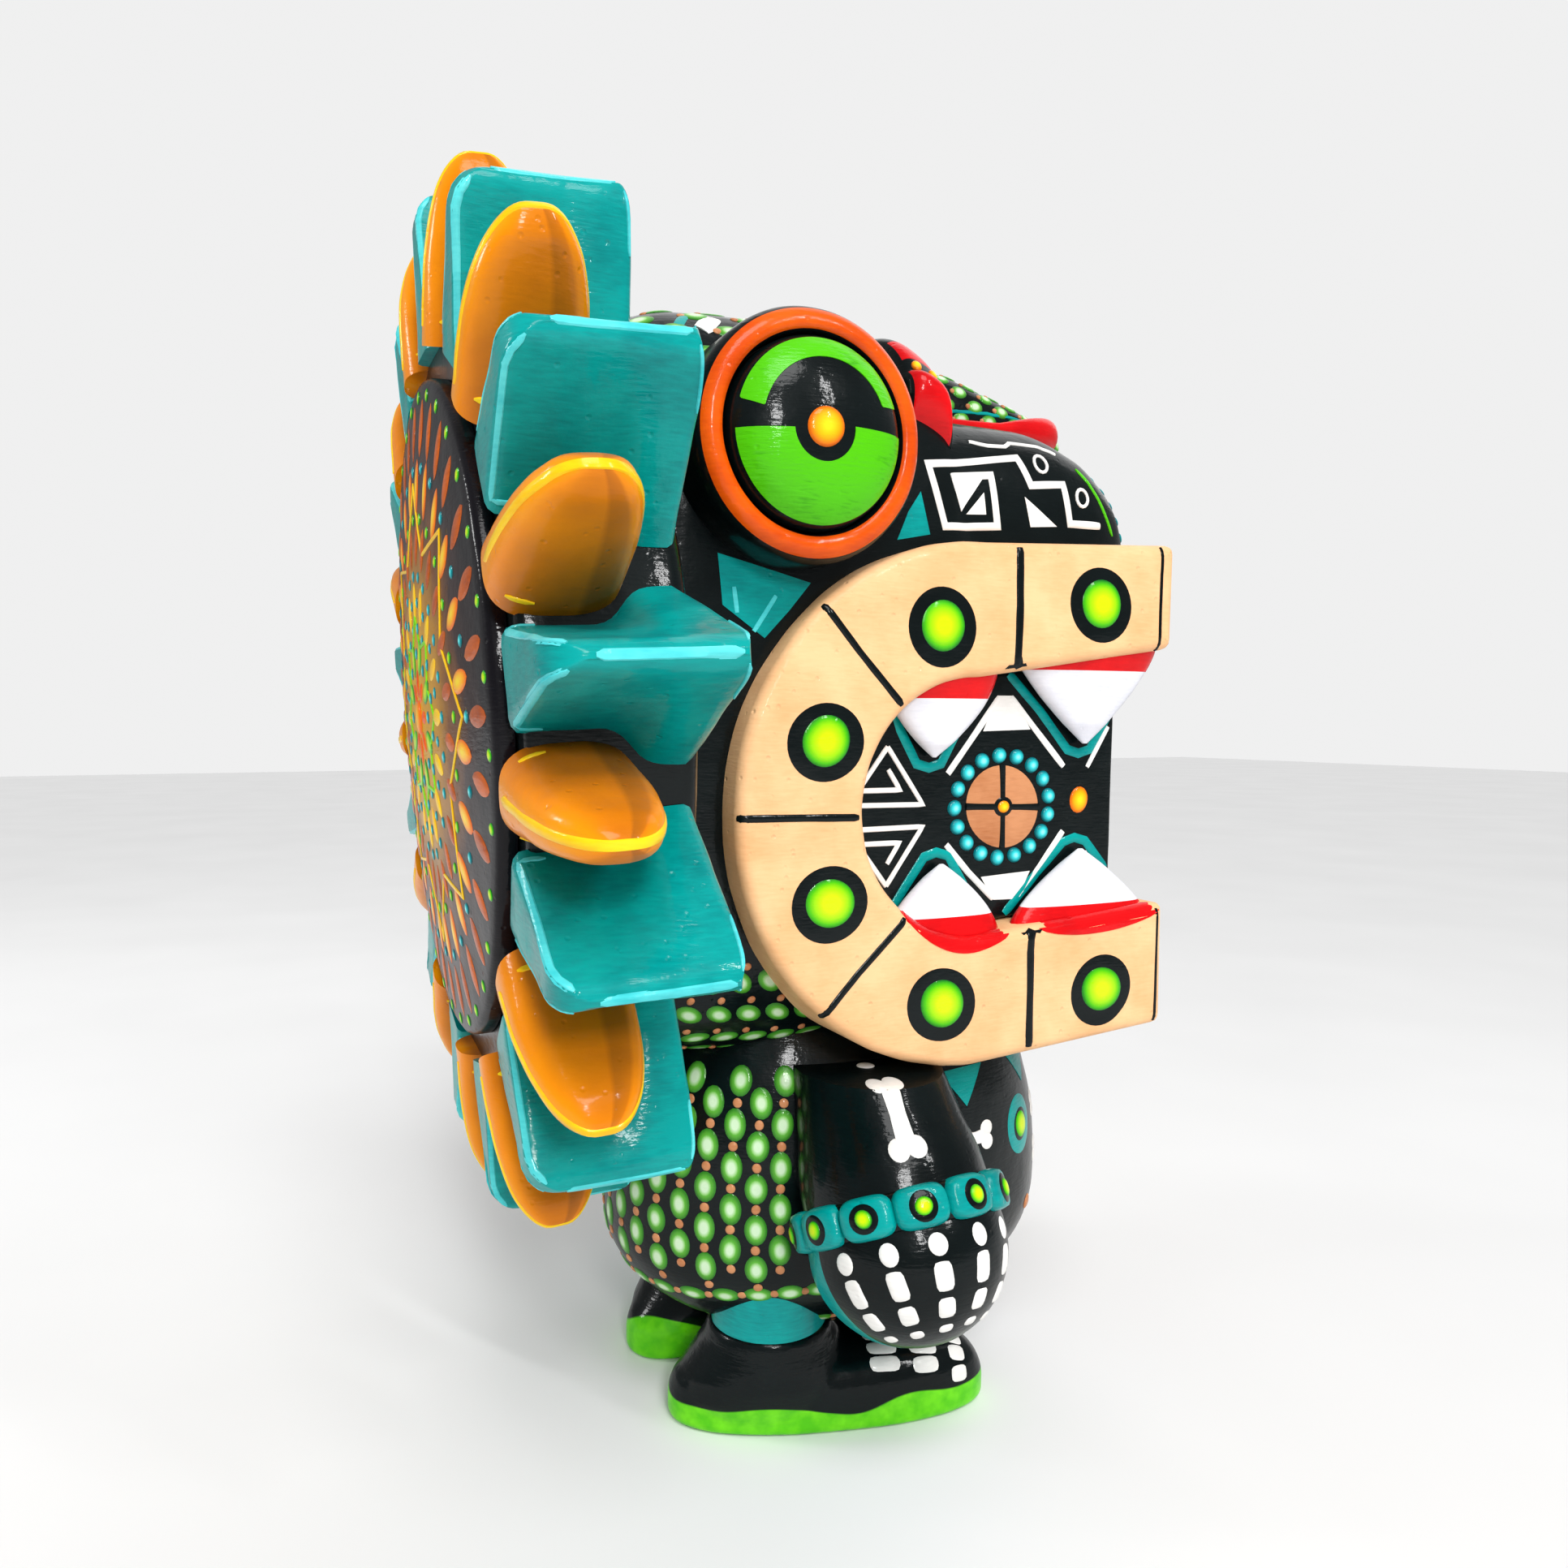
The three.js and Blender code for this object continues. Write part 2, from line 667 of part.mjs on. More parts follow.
function buildHead() {
  const grownHead = headForm(GAP);
  const pockets = eyePocket().add(mirrored(eyePocket()));
  const mouth = sidePlate(mouthOutline(0), -CUT_HALF, CUT_HALF, 0);
  const core = sidePlate(mouthOutline(GAP), -CORE_HALF_WIDTH, CORE_HALF_WIDTH, 0);
  const neckRadius = NECK_RADIUS + GAP;
  const neck = post(TORSO_FORWARD, 0, neckRadius, NECK_BOTTOM, NECK_TOP + GAP, DOWEL_SIDES);
  const head = headForm(0)
    .subtract(drumBody(GAP))
    .subtract(crestTenon(GAP))
    .subtract(mouth)
    .subtract(pockets)
    .subtract(neck);
  add("head_block", head, BLACK);
  add("mouth_core", core.intersect(box(0, CORE_FRONT, -CUT_HALF, CUT_HALF, 0, CUT_TOP)), BLACK);

  const lip = lipBody(0).subtract(grownHead);
  addPair("lip", lip, PEACH);
  const between = lipBody(GAP).add(mirrored(lipBody(GAP)));
  const upper = frontLip(MOUTH_TOP_FRONT + 1, LIP_TOP_FRONT);
  const lower = frontLip(LIP_BOTTOM_FRONT, MOUTH_BOTTOM_FRONT);
  const fit = (body) => body.subtract(grownHead).subtract(between);
  add("lip_front_upper", fit(upper), PEACH);
  add("lip_front_lower", fit(lower), PEACH);

  for (const [label, ...dims] of TEETH) {
    const body = tooth(...dims).subtract(lipBody(GAP)).subtract(grownHead);
    addPair("tooth_" + label, body, WHITE);
  }
  addPair("eye_rim", eyeRim(), FLAME);
  addPair("eye_dome", eyeDome(), GREEN);

  const brow = browBody().subtract(grownHead).subtract(pockets);
  add("brow_bridge", brow, RED);
  const nose = noseForm(0).subtract(grownHead);
  add("nose_ridge", nose, GREEN);
}

function torsoForm(grow) {
  const rings = [];
  for (const height of TORSO_LEVELS) {
    const rise = height < 0 ? TORSO_DOWN + grow : TORSO_RISE;
    const up = TORSO_UP + rise * height;
    const slim = (1 - Math.abs(height) ** TORSO_FULLNESS) ** (1 / TORSO_FULLNESS);
    const offsets = superellipse(
      RING_POINTS,
      (TORSO_HALF_LENGTH + grow) * slim,
      (TORSO_HALF_WIDTH + grow) * slim,
      TORSO_SQUARENESS,
    );
    rings.push(offsets.map(([f, s]) => at(TORSO_FORWARD + f, s, up)));
  }
  return loft(rings);
}

function armCone() {
  const profile = ARM_RINGS.map(([along, radius]) => new THREE.Vector2(radius, along));
  const [top] = ARM_RINGS[ARM_RINGS.length - 1];
  profile.unshift(new THREE.Vector2(0, ARM_RINGS[0][0]));
  profile.push(new THREE.Vector2(0, top));
  const geometry = new THREE.LatheGeometry(profile, ARM_SIDES);
  geometry.rotateX(Math.PI / 2);
  return placed(geometry, wristMatrix());
}

function shoulderPeg(grow) {
  const radius = SHOULDER_RADIUS + grow;
  const profile = [
    [0, SHOULDER_IN - grow],
    [radius, SHOULDER_IN - grow],
    [radius, SHOULDER_OUT],
    [0, SHOULDER_OUT],
  ];
  return turnedSideways(profile, SHOULDER_FORWARD, SHOULDER_UP, PEG_SIDES);
}

function braceletBody(grow) {
  const outline = [];
  for (let i = 0; i < PLAQUES; i++) {
    const mid = PLAQUE_TURN + (2 * Math.PI * i) / PLAQUES;
    const half = Math.PI / PLAQUES;
    const r = BRACELET_RADIUS + grow;
    outline.push([r, mid - half * PLAQUE_SHARE], [r, mid + half * PLAQUE_SHARE]);
    outline.push([r - PLAQUE_GROOVE, mid + half]);
  }
  const shape = new THREE.Shape(
    outline.map(([r, t]) => new THREE.Vector2(r * Math.cos(t), r * Math.sin(t))),
  );
  const hole = new THREE.Path();
  hole.absarc(0, 0, WRIST_RADIUS + GAP, 0, 2 * Math.PI, true);
  shape.holes.push(hole);
  const geometry = new THREE.ExtrudeGeometry(shape, {
    depth: 2 * (BRACELET_HALF - BRACELET_BEVEL),
    bevelThickness: BRACELET_BEVEL,
    bevelSize: BRACELET_BEVEL,
    bevelOffset: -BRACELET_BEVEL,
    bevelSegments: 1,
    curveSegments: 8,
  });
  geometry.translate(0, 0, -BRACELET_HALF + BRACELET_BEVEL);
  return placed(geometry, wristMatrix());
}

// The wrist frame: its Z runs up the arm's own axis.
function wristMatrix() {
  const axis = at(...ARM_AXIS).normalize();
  const turn = new THREE.Quaternion().setFromUnitVectors(new THREE.Vector3(0, 0, 1), axis);
  const matrix = new THREE.Matrix4().makeRotationFromQuaternion(turn);
  return matrix.setPosition(at(WRIST_FORWARD, WRIST_SIDE, WRIST_UP));
}

// A slab that fills the space above or below the wrist plane.
function wristHalf(sign) {
  const wide = 2 * WRIST_CUT_HALF;
  const geometry = new THREE.BoxGeometry(wide, wide, WRIST_CUT_HEIGHT);
  geometry.translate(0, 0, sign * (WRIST_CUT_HEIGHT / 2 + BRACELET_HALF + GAP));
  return placed(geometry, wristMatrix());
}

function wristPeg(grow) {
  const geometry = new THREE.CylinderGeometry(
    WRIST_RADIUS - GAP + grow,
    WRIST_RADIUS - GAP + grow,
    WRIST_PEG_LENGTH + 2 * grow,
    DOWEL_SIDES,
  );
  geometry.rotateX(Math.PI / 2);
  geometry.translate(0, 0, -WRIST_PEG_DROP);
  return placed(geometry, wristMatrix());
}

function handBody() {
  const geometry = new THREE.SphereGeometry(1, HAND_SIDES, HAND_RINGS);
  geometry.rotateX(Math.PI / 2);
  geometry.scale(HAND_RADIUS, HAND_RADIUS, HAND_HALF_LENGTH);
  geometry.translate(0, 0, -HAND_DROP);
  return placed(geometry, wristMatrix());
}

function legPeg(grow) {
  const bottom = LEG_PEG_BOTTOM - grow;
  const top = LEG_PEG_TOP + grow;
  return post(ANKLE_FORWARD, ANKLE_SIDE, LEG_PEG_RADIUS + grow, bottom, top, PEG_SIDES);
}

function shoeBody() {
  const cosine = Math.cos(SHOE_TURN);
  const sine = Math.sin(SHOE_TURN);
  const rings = SHOE_RINGS.map(([up, length, width, shift]) =>
    superellipse(SHOE_POINTS, length, width, SHOE_SQUARENESS).map(([l, w]) => {
      const along = l + shift;
      const forward = SHOE_FORWARD + along * cosine - w * sine;
      return at(forward, SHOE_SIDE + along * sine + w * cosine, up);
    }),
  );
  const collar = post(
    SHOE_FORWARD + SHOE_ANKLE * cosine,
    SHOE_SIDE + SHOE_ANKLE * sine,
    COLLAR_RADIUS,
    COLLAR_BOTTOM,
    COLLAR_TOP,
    LEG_SIDES,
  );
  return loft(rings).add(collar);
}

function buildBody() {
  const grownTorso = torsoForm(GAP);
  const neckBar = post(TORSO_FORWARD, 0, NECK_RADIUS, NECK_BOTTOM, NECK_TOP, DOWEL_SIDES);
  const holeRadius = NECK_RADIUS + GAP;
  const holeTop = NECK_TOP + PAST;
  const neckHole = post(TORSO_FORWARD, 0, holeRadius, NECK_BOTTOM - GAP, holeTop, DOWEL_SIDES);
  const lips = lipBody(GAP).add(mirrored(lipBody(GAP)));
  let torso = torsoForm(0).subtract(headForm(GAP)).subtract(neckHole).subtract(lips);
  for (const cut of [shoulderPeg(GAP), legPeg(GAP)]) {
    torso = torso.subtract(cut).subtract(mirrored(cut));
  }
  add("torso", torso, BLACK);
  add("neck_dowel", neckBar, WOOD);

  const arm = armCone()
    .intersect(box(-CUT_HALF, CUT_HALF, 0, CUT_HALF, 0, ARM_TOP))
    .subtract(grownTorso)
    .intersect(wristHalf(1))
    .add(shoulderPeg(0))
    .subtract(wristPeg(GAP));
  addPair("arm", arm, BLACK);
  const bracelet = braceletBody(0).subtract(grownTorso);
  addPair("bracelet", bracelet, TEAL);
  const hand = handBody()
    .intersect(wristHalf(-1))
    .subtract(grownTorso)
    .add(wristPeg(0));
  addPair("hand", hand, BLACK);

  const foot = COLLAR_TOP + GAP;
  const column = post(ANKLE_FORWARD, ANKLE_SIDE, ANKLE_RADIUS, foot, ANKLE_TOP, LEG_SIDES);
  const leg = column.subtract(grownTorso).add(legPeg(0));
  addPair("leg", leg, TEAL);
  const socketRadius = ANKLE_RADIUS + GAP;
  const ankle = post(
    ANKLE_FORWARD, ANKLE_SIDE, socketRadius, COLLAR_TOP, ANKLE_CUT_TOP, LEG_SIDES,
  );
  const shoe = shoeBody().subtract(legPeg(GAP)).subtract(ankle).subtract(grownTorso);
  addPair("shoe", shoe, BLACK);
}

buildCrest();
buildHead();
buildBody();

// Stand the figure over the origin.
const bounds = new THREE.Box3().setFromObject(figure);
const middle = bounds.getCenter(new THREE.Vector3());
figure.children.forEach((mesh) => {
  mesh.geometry.translate(-middle.x, -middle.y, -bounds.min.z);
});

export default figure;
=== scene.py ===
"""Painted plumed-serpent alebrije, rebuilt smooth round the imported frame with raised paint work.

Lengths are in millimetres until at() or raw() turns them into metres. "forward" is toward the
face (-Y), "right" is the figure's own right (-X), and "up" is +Z. A share runs from 0 to 1 or
from -1 to 1 across a shape, and a skin turns flat (u, v, height) millimetres into surface points.
"""

import math
import random

import bmesh
import bpy
from mathutils import Matrix, Vector, noise
from mathutils.bvhtree import BVHTree
from mathutils.geometry import delaunay_2d_cdt


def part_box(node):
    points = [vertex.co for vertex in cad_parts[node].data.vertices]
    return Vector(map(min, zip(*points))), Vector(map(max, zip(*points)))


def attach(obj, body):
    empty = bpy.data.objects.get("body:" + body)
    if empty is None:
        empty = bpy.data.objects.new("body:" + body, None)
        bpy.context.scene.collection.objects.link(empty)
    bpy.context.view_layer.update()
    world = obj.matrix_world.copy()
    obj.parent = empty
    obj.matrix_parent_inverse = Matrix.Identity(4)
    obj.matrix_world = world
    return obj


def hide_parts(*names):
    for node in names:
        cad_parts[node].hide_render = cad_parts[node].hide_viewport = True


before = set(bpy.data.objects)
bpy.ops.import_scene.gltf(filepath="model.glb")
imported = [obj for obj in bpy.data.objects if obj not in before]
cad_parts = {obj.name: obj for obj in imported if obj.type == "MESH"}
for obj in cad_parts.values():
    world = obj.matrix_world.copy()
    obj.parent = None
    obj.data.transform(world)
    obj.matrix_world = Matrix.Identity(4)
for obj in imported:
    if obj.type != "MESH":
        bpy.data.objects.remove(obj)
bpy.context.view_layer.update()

MM = 0.001
rng = random.Random(26)

# ---------------------------------------------------------------- driving dimensions
EYE_FORWARD = -9.5
EYE_UP = 239.5
EYE_RADIUS = 27
EYE_OUTER = 60
EYE_ROOT = 20
DOME_RADIUS = 20.4
DOME_TOP = 67
DOME_SEAT = 53.3
DOME_SUNK = 2
PUPIL = (-10.8, 239.2)
PUPIL_RADIUS = 6.9
IRIS_RADIUS = 19.0
IRIS_INNER = 14.4
dome_low, dome_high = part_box("eye_dome_right")
PLAN_SHIFT = (dome_low.y + dome_high.y) / 2 / MM + EYE_FORWARD

FEATHERS = 26
CREST_FORWARD = -62
CREST_UP = 180.5
CREST_LEAN = math.radians(2.5)
CREST_YAW = math.radians(1.6)
CREST_TURN = math.radians(2.7)
DRUM_RADIUS = 84
DRUM_BACK = -14
DRUM_FRONT = 19
DRUM_BACK_EASE = 1.5
DRUM_FRONT_EASE = 4
DISC_RADIUS = 76
DISC_BACK = -22.3
DISC_CROWN = 4
DISC_SHOULDER = 1.5
FEATHER_ROOT = DRUM_RADIUS - 1.5
TEAL_TIP = 117.5
TEAL_MIDDLE = 0.3
TEAL_HALF_LENGTH = 17
TEAL_TIP_HALF = 2.2
TEAL_CORNER = 8
TEAL_RIDGE_EASE = 3
TEAL_FOOTPRINT = [(-1, 7.5), (-0.93, 9.4), (0.12, 9.4), (0.45, 16.2), (0.92, 16.6), (1, 14.5)]
ORANGE_TIP = 120
ORANGE_MIDDLE = -6.5
ORANGE_HALF_LENGTH = 12.3
ORANGE_ROOT_HALF = 9.2

# Rings of strokes on the back disc: radius, count, phase, half length, half width, look.
MANDALA_RINGS = [
    (8, 8, 0, 3.2, 1.5, "flame"), (15, 8, 0.5, 4.6, 2.4, "glow"), (15, 8, 0, 1.5, 1.5, "turquoise"),
    (21, 16, 0.5, 1.4, 1.4, "turquoise"), (27, 16, 0, 4.6, 1.9, "yellow"),
    (27, 16, 0.5, 1.3, 1.3, "turquoise"), (33, 24, 0, 1.4, 1.4, "turquoise"),
    (40, 24, 0.5, 4.8, 1.9, "ember"), (46, 24, 0, 1.4, 1.4, "glow"),
    (53, 24, 0.5, 6.2, 2.5, "amber"), (53, 24, 0.5, 3.6, 1.3, "flame"),
    (57, 24, 0, 1.4, 1.4, "turquoise"), (65.5, 32, 0, 6.2, 2.2, "ember"),
    (65.5, 32, 0, 4.0, 1.2, "yellow"), (72.5, 32, 0.5, 1.5, 1.3, "glow"),
]
MANDALA_STARS = [(24, "lime"), (54, "yellow")]
STAR_POINTS = 8
STAR_NOTCH = 0.72
# Rings on the drum's front: radius, count, half length, half width, look.
DRUM_FRONT_RINGS = [
    (78, 78, 1.5, 1.5, "turquoise"), (71, 52, 3.6, 1.6, "amber"), (63.5, 52, 1.4, 1.4, "lime"),
    (57, 26, 4.0, 2.0, "scale"),
]

# Stations of (forward, top, bottom, half width).
HEAD_STATIONS = [
    (-45.2, 270, 101, 43), (-30, 275, 97, 46), (0, 276, 95, 47), (22, 273, 95, 47),
    (34, 268, 95, 47), (41, 251, 95, 47), (52, 246, 96, 47), (64, 238, 97, 46.5),
    (80, 226, 99, 46), (86, 222, 101, 45), (88.5, 218, 105, 42),
]
HEAD_SQUARENESS = 3.6
SNOUT_STATIONS = [
    (30, 257, 200, 44), (62, 256, 200, 45), (76, 252, 200, 44.5), (85.5, 246, 200, 42),
    (92, 238, 202, 38), (96, 230, 205, 32), (98, 222, 210, 24),
]
SNOUT_SQUARENESS = 3
SHELF_BACK = 88.5
NOSE_STATIONS = [
    (36, 273, 254, 10), (42, 274.5, 250, 13), (54, 273, 248, 14), (64, 270, 248, 14.5),
    (76, 266, 249, 14.5), (86, 262.5, 250, 12.5), (93, 260, 251, 9), (96, 258, 252, 5),
]
NOSE_SQUARENESS = 2.6
NOSE_LIP_BACK = 44
NOSE_LIP_REACH = 46
NOSE_LIP_HALF_WIDTH = 17.6
NOSE_LIP_UP = 256.4
NOSE_LIP_STEPS = 48
MOUTH_FORWARD = 37
MOUTH_UP = 158
MOUTH_RADIUS = 31
MOUTH_TOP_FRONT = 195
MOUTH_BOTTOM_FRONT = 131
LIP_RADIUS = 62.7
LIP_FRONT = 95
LIP_TOP_FRONT = 223
LIP_BOTTOM_FRONT = 100
LIP_OUTER = 55
LIP_INNER = 36
LIP_EASE = 2.4
FRONT_LIP_BACK = 88.6
FRONT_LIP_HALF_WIDTH = 38
SLOT_FRONT = LIP_FRONT + 20
CORE_HALF_WIDTH = 44
CORE_FRONT = 86
MEDALLION = (51.3, 157.3)
# Teeth: name, root start, root end, root up, tip forward, tip up, taper power, red rings.
TEETH = [
    ("upper_rear", 14, 45, 190, 29.5, 170, 1.7, 5), ("upper_front", 50, 94, 197, 74.5, 173, 1.35, 4),
    ("lower_rear", 15, 47, 126.5, 32, 144, 1.7, 5), ("lower_front", 51, 94, 128, 74, 146, 1.35, 4),
]
TOOTH_OUTER = 53
TOOTH_INNER = 44.4
TOOTH_STEPS = 26
TOOTH_SIDES = 44
TOOTH_THINNING = 0.55
GUM_SPANS = [(16, 46.5), (55.5, 93)]
GUM_STEPS = 20
GUM_DEPTH = 3.2
BROW_MIDDLE = 30.1
BROW_HALF = 6.4
BROW_LIFT = 4
BROW_SPAN = 0.94
BROW_ROWS = 110
BROW_COLUMNS = 24
# The brow is red between the first two shares of its half length and past the third.
BROW_RED = (0.43, 0.68, 0.79)
BROW_EDGE = 0.8

TORSO_FORWARD = 24
TORSO_UP = 52
TORSO_HALF_LENGTH = 63
TORSO_HALF_WIDTH = 44
TORSO_DOWN = 35
TORSO_RISE = 72
TORSO_FULLNESS = 2.4
TORSO_SQUARENESS = 2.15
TORSO_CUT = 0.74
SCALE_SPREAD = 6.25
SCALE_START = 0.8
# Rings of scales under the torso's back: elevation, count, half width.
LOW_SCALES = [(-16, 15, 3.6), (-34, 13, 3.4), (-50, 11, 3.2)]
WRIST = (15.5, 56, 63)
ARM_AXIS = (-0.03, -0.46, 0.887)
ARM_RINGS = [(0, 22.4), (8, 22.2), (20, 20.2), (36, 17.5), (52, 15)]
ARM_LENGTH = 52
ARM_TOP = 94.6
BRACELET_RADIUS = 26
BRACELET_BASE = BRACELET_RADIUS - 2.2
BRACELET_HALF = 4.2
BRACELET_BEVEL = 0.8
PLAQUES = 12
PLAQUE_TURN = math.radians(16)
PLAQUE_HALF_HEIGHT = 4.7
PLAQUE_RISE = 2.3
PLAQUE_GAP = 0.4
HAND_RADIUS = 23.4
HAND_HALF_LENGTH = 22.5
HAND_DROP = 7.5
HAND_STEPS = 48
FINGERS = 5
FIRST_FINGER = 156.6
FINGER_SPREAD = 27.4
# Finger bones down each finger: latitude, half width, half length, squareness.
FINGER_BONES = [(-2, 2.2, 2.5, 2), (-19, 2.1, 3.3, 4.5), (-37.5, 2.0, 2.6, 4.5), (-53, 1.6, 1.3, 3)]
ANKLE = (-3, 22)
LEG_RINGS = [(15, 15), (15, 21), (14.8, 25), (14.7, 30), (14.7, 36), (14.7, 44)]
SHOE = (12, 26)
SHOE_TURN = math.radians(15)
SHOE_RINGS = [
    (0, 40.5, 14.3, 0), (1.5, 42, 15.7, 0), (6, 42, 15.7, 0), (11, 40.5, 15.2, 0),
    (15.5, 34, 13.2, 2), (18, 23, 9, 4), (19, 10, 4, 6),
]
SHOE_TOP = 19
SHOE_STEPS = 38
SHOE_SQUARENESS = 2.3
# Skirt of the shoe round the ankle: half length, half width, height.
SHOE_SKIRT = [
    (22, 14.5, 2), (25, 16.5, 8), (23, 17.4, 13), (20, 17, 17), (17.2, 16.2, 21),
    (15.9, 15.7, 24), (15.2, 15.2, 24.9), (13, 13, 25.1),
]
SKIRT_BACK = -15.5

CAMERA_AZIMUTH = 0.409
CAMERA_RISE = 0.093
CAMERA_DISTANCE = 0.314
CAMERA_TARGET = Vector((0, PLAN_SHIFT * MM, 0.150))
CAMERA_LENS = 26.81
CAMERA_SHIFT = (0.02455, 0.02816)
FLOOR_HALF = 4.0


def raw(forward, right, up):
    """A direction or an offset in metres."""
    return Vector((-right, -forward, up)) * MM


def at(forward, right, up):
    """A point of the figure in the row frame."""
    return raw(forward, right, up) + Vector((0, PLAN_SHIFT * MM, 0))


def lerp(a, b, t):
    return a + (b - a) * t


def steps(start, end, count):
    """Evenly spaced values from start to end, both included."""
    return [lerp(start, end, k / count) for k in range(count + 1)]


# ---------------------------------------------------------------- materials
def srgb(red, green, blue):
    """A linear colour from 0-255 display values."""
    line = []
    for value in (red, green, blue):
        c = value / 255
        line.append(c / 12.92 if c <= 0.04045 else ((c + 0.055) / 1.055) ** 2.4)
    return (*line, 1.0)


def stops(*rows):
    """Ramp stops from rows of (place, red, green, blue)."""
    return [(row[0], srgb(*row[1:])) for row in rows]


def drift_stops(dark, light):
    """The two ends of a paint that drifts in shade with the brush."""
    return stops((0.35, *dark), (0.85, *light))


def wire(tree, pairs):
    for source, target in pairs:
        tree.links.new(source, target)


def new_node(nodes, kind, values=None, **settings):
    """A shader node with its settings and its unlinked input values."""
    node = nodes.new("ShaderNode" + kind)
    for name, value in settings.items():
        setattr(node, name, value)
    for name, value in (values or {}).items():
        node.inputs[name].default_value = value
    return node


def ramp(nodes, places):
    node = nodes.new("ShaderNodeValToRGB")
    ends = node.color_ramp.elements
    while len(ends) < len(places):
        ends.new(0.5)
    for end, (place, colour) in zip(ends, places):
        end.position = place
        end.color = colour
    return node


def paint_colour(tree, brush, drift, places, streaks, by_tone):
    """Wires a ramp that follows the brush strokes, or the mesh's own tone attribute."""
    nodes = tree.nodes
    colours = ramp(nodes, places)
    tone = new_node(nodes, "Math", {1: 0.3 if by_tone else streaks}, operation="MULTIPLY_ADD")
    wire(tree, [
        (tone.outputs[0], colours.inputs["Fac"]),
        (colours.outputs["Color"], nodes["Principled BSDF"].inputs["Base Color"]),
    ])
    if by_tone:
        painted = new_node(nodes, "Attribute", attribute_name="tone")
        drop = new_node(nodes, "Math", {1: 0.5}, operation="SUBTRACT")
        wire(tree, [
            (drift.outputs["Fac"], drop.inputs[0]),
            (drop.outputs[0], tone.inputs[0]),
            (painted.outputs["Fac"], tone.inputs[2]),
        ])
    else:
        wire(tree, [
            (brush.outputs["Fac"], tone.inputs[0]),
            (drift.outputs["Fac"], tone.inputs[2]),
        ])


def paint_relief(tree, place, brush, streaks, pits):
    """Wires dimples, pinholes and brush ridges into the surface normal."""
    nodes = tree.nodes
    shader = nodes["Principled BSDF"]
    pores = new_node(nodes, "TexVoronoi", {"Scale": 260})
    pinhole = new_node(nodes, "MapRange", {"From Min": 0.04, "From Max": 0.16})
    lumps = new_node(nodes, "TexNoise", {"Scale": 210, "Detail": 5})
    height = new_node(nodes, "Math", {1: pits}, operation="MULTIPLY_ADD")
    ridges = new_node(nodes, "Math", {1: streaks}, operation="MULTIPLY_ADD")
    bump = new_node(nodes, "Bump", {"Strength": 0.5, "Distance": 0.00035})
    wire(tree, [
        (place.outputs["Object"], pores.inputs["Vector"]),
        (pores.outputs["Distance"], pinhole.inputs["Value"]),
        (place.outputs["Object"], lumps.inputs["Vector"]),
        (pinhole.outputs["Result"], height.inputs[0]),
        (lumps.outputs["Fac"], height.inputs[2]),
        (brush.outputs["Fac"], ridges.inputs[0]),
        (height.outputs[0], ridges.inputs[2]),
        (ridges.outputs[0], bump.inputs["Height"]),
        (bump.outputs["Normal"], shader.inputs["Normal"]),
        (bump.outputs["Normal"], shader.inputs["Coat Normal"]),
    ])


def lacquer(name, places, gloss=0.32, coat=0.3, streaks=0.35, pits=0.5, by_tone=False):
    """Brushed acrylic under varnish: drifting colour, brush lines, dimples and pinholes."""
    material = bpy.data.materials.new(name)
    material.use_nodes = True
    tree = material.node_tree
    nodes = tree.nodes
    shader = nodes["Principled BSDF"]
    shader.inputs["Coat Weight"].default_value = coat
    shader.inputs["Coat Roughness"].default_value = 0.06
    shader.inputs["Specular IOR Level"].default_value = 0.06
    place = new_node(nodes, "TexCoord")
    drift = new_node(nodes, "TexNoise", {"Scale": 70, "Detail": 4})
    grain = new_node(nodes, "Mapping", {"Rotation": (0.5, 0.3, 0.4), "Scale": (260, 260, 1700)})
    brush = new_node(nodes, "TexNoise", {"Scale": 1, "Detail": 3})
    rough = new_node(nodes, "MapRange", {"To Min": gloss - 0.08, "To Max": gloss + 0.12})
    wire(tree, [
        (place.outputs["Object"], drift.inputs["Vector"]),
        (place.outputs["Object"], grain.inputs["Vector"]),
        (grain.outputs["Vector"], brush.inputs["Vector"]),
        (drift.outputs["Fac"], rough.inputs["Value"]),
        (rough.outputs["Result"], shader.inputs["Roughness"]),
    ])
    paint_colour(tree, brush, drift, places, streaks, by_tone)
    paint_relief(tree, place, brush, streaks, pits)
    return material


def sole_look():
    """Black gloss above a wavy hand-painted lime sole band."""
    material = lacquer("shoe_black_lime", BLACKS, gloss=0.3, pits=0.25)
    tree = material.node_tree
    nodes = tree.nodes
    shader = nodes["Principled BSDF"]
    black = shader.inputs["Base Color"].links[0].from_socket
    place = new_node(nodes, "TexCoord")
    parts = new_node(nodes, "SeparateXYZ")
    wave = new_node(nodes, "TexNoise", {"Scale": 38, "Detail": 0})
    level = new_node(nodes, "Math", {1: -0.013}, operation="MULTIPLY_ADD")
    edge = new_node(nodes, "MapRange", {"From Min": 0.0016, "From Max": 0.0012})
    streak = new_node(nodes, "TexNoise", {"Scale": 240})
    lime = ramp(nodes, drift_stops((84, 196, 14), (126, 232, 30)))
    mix = new_node(nodes, "Mix", data_type="RGBA")
    wire(tree, [
        (place.outputs["Object"], parts.inputs[0]),
        (place.outputs["Object"], wave.inputs["Vector"]),
        (wave.outputs["Fac"], level.inputs[0]),
        (parts.outputs["Z"], level.inputs[2]),
        (level.outputs[0], edge.inputs["Value"]),
        (edge.outputs["Result"], mix.inputs["Factor"]),
        (place.outputs["Object"], streak.inputs["Vector"]),
        (streak.outputs["Fac"], lime.inputs["Fac"]),
        (black, mix.inputs["A"]),
        (lime.outputs["Color"], mix.inputs["B"]),
        (mix.outputs["Result"], shader.inputs["Base Color"]),
    ])
    return material


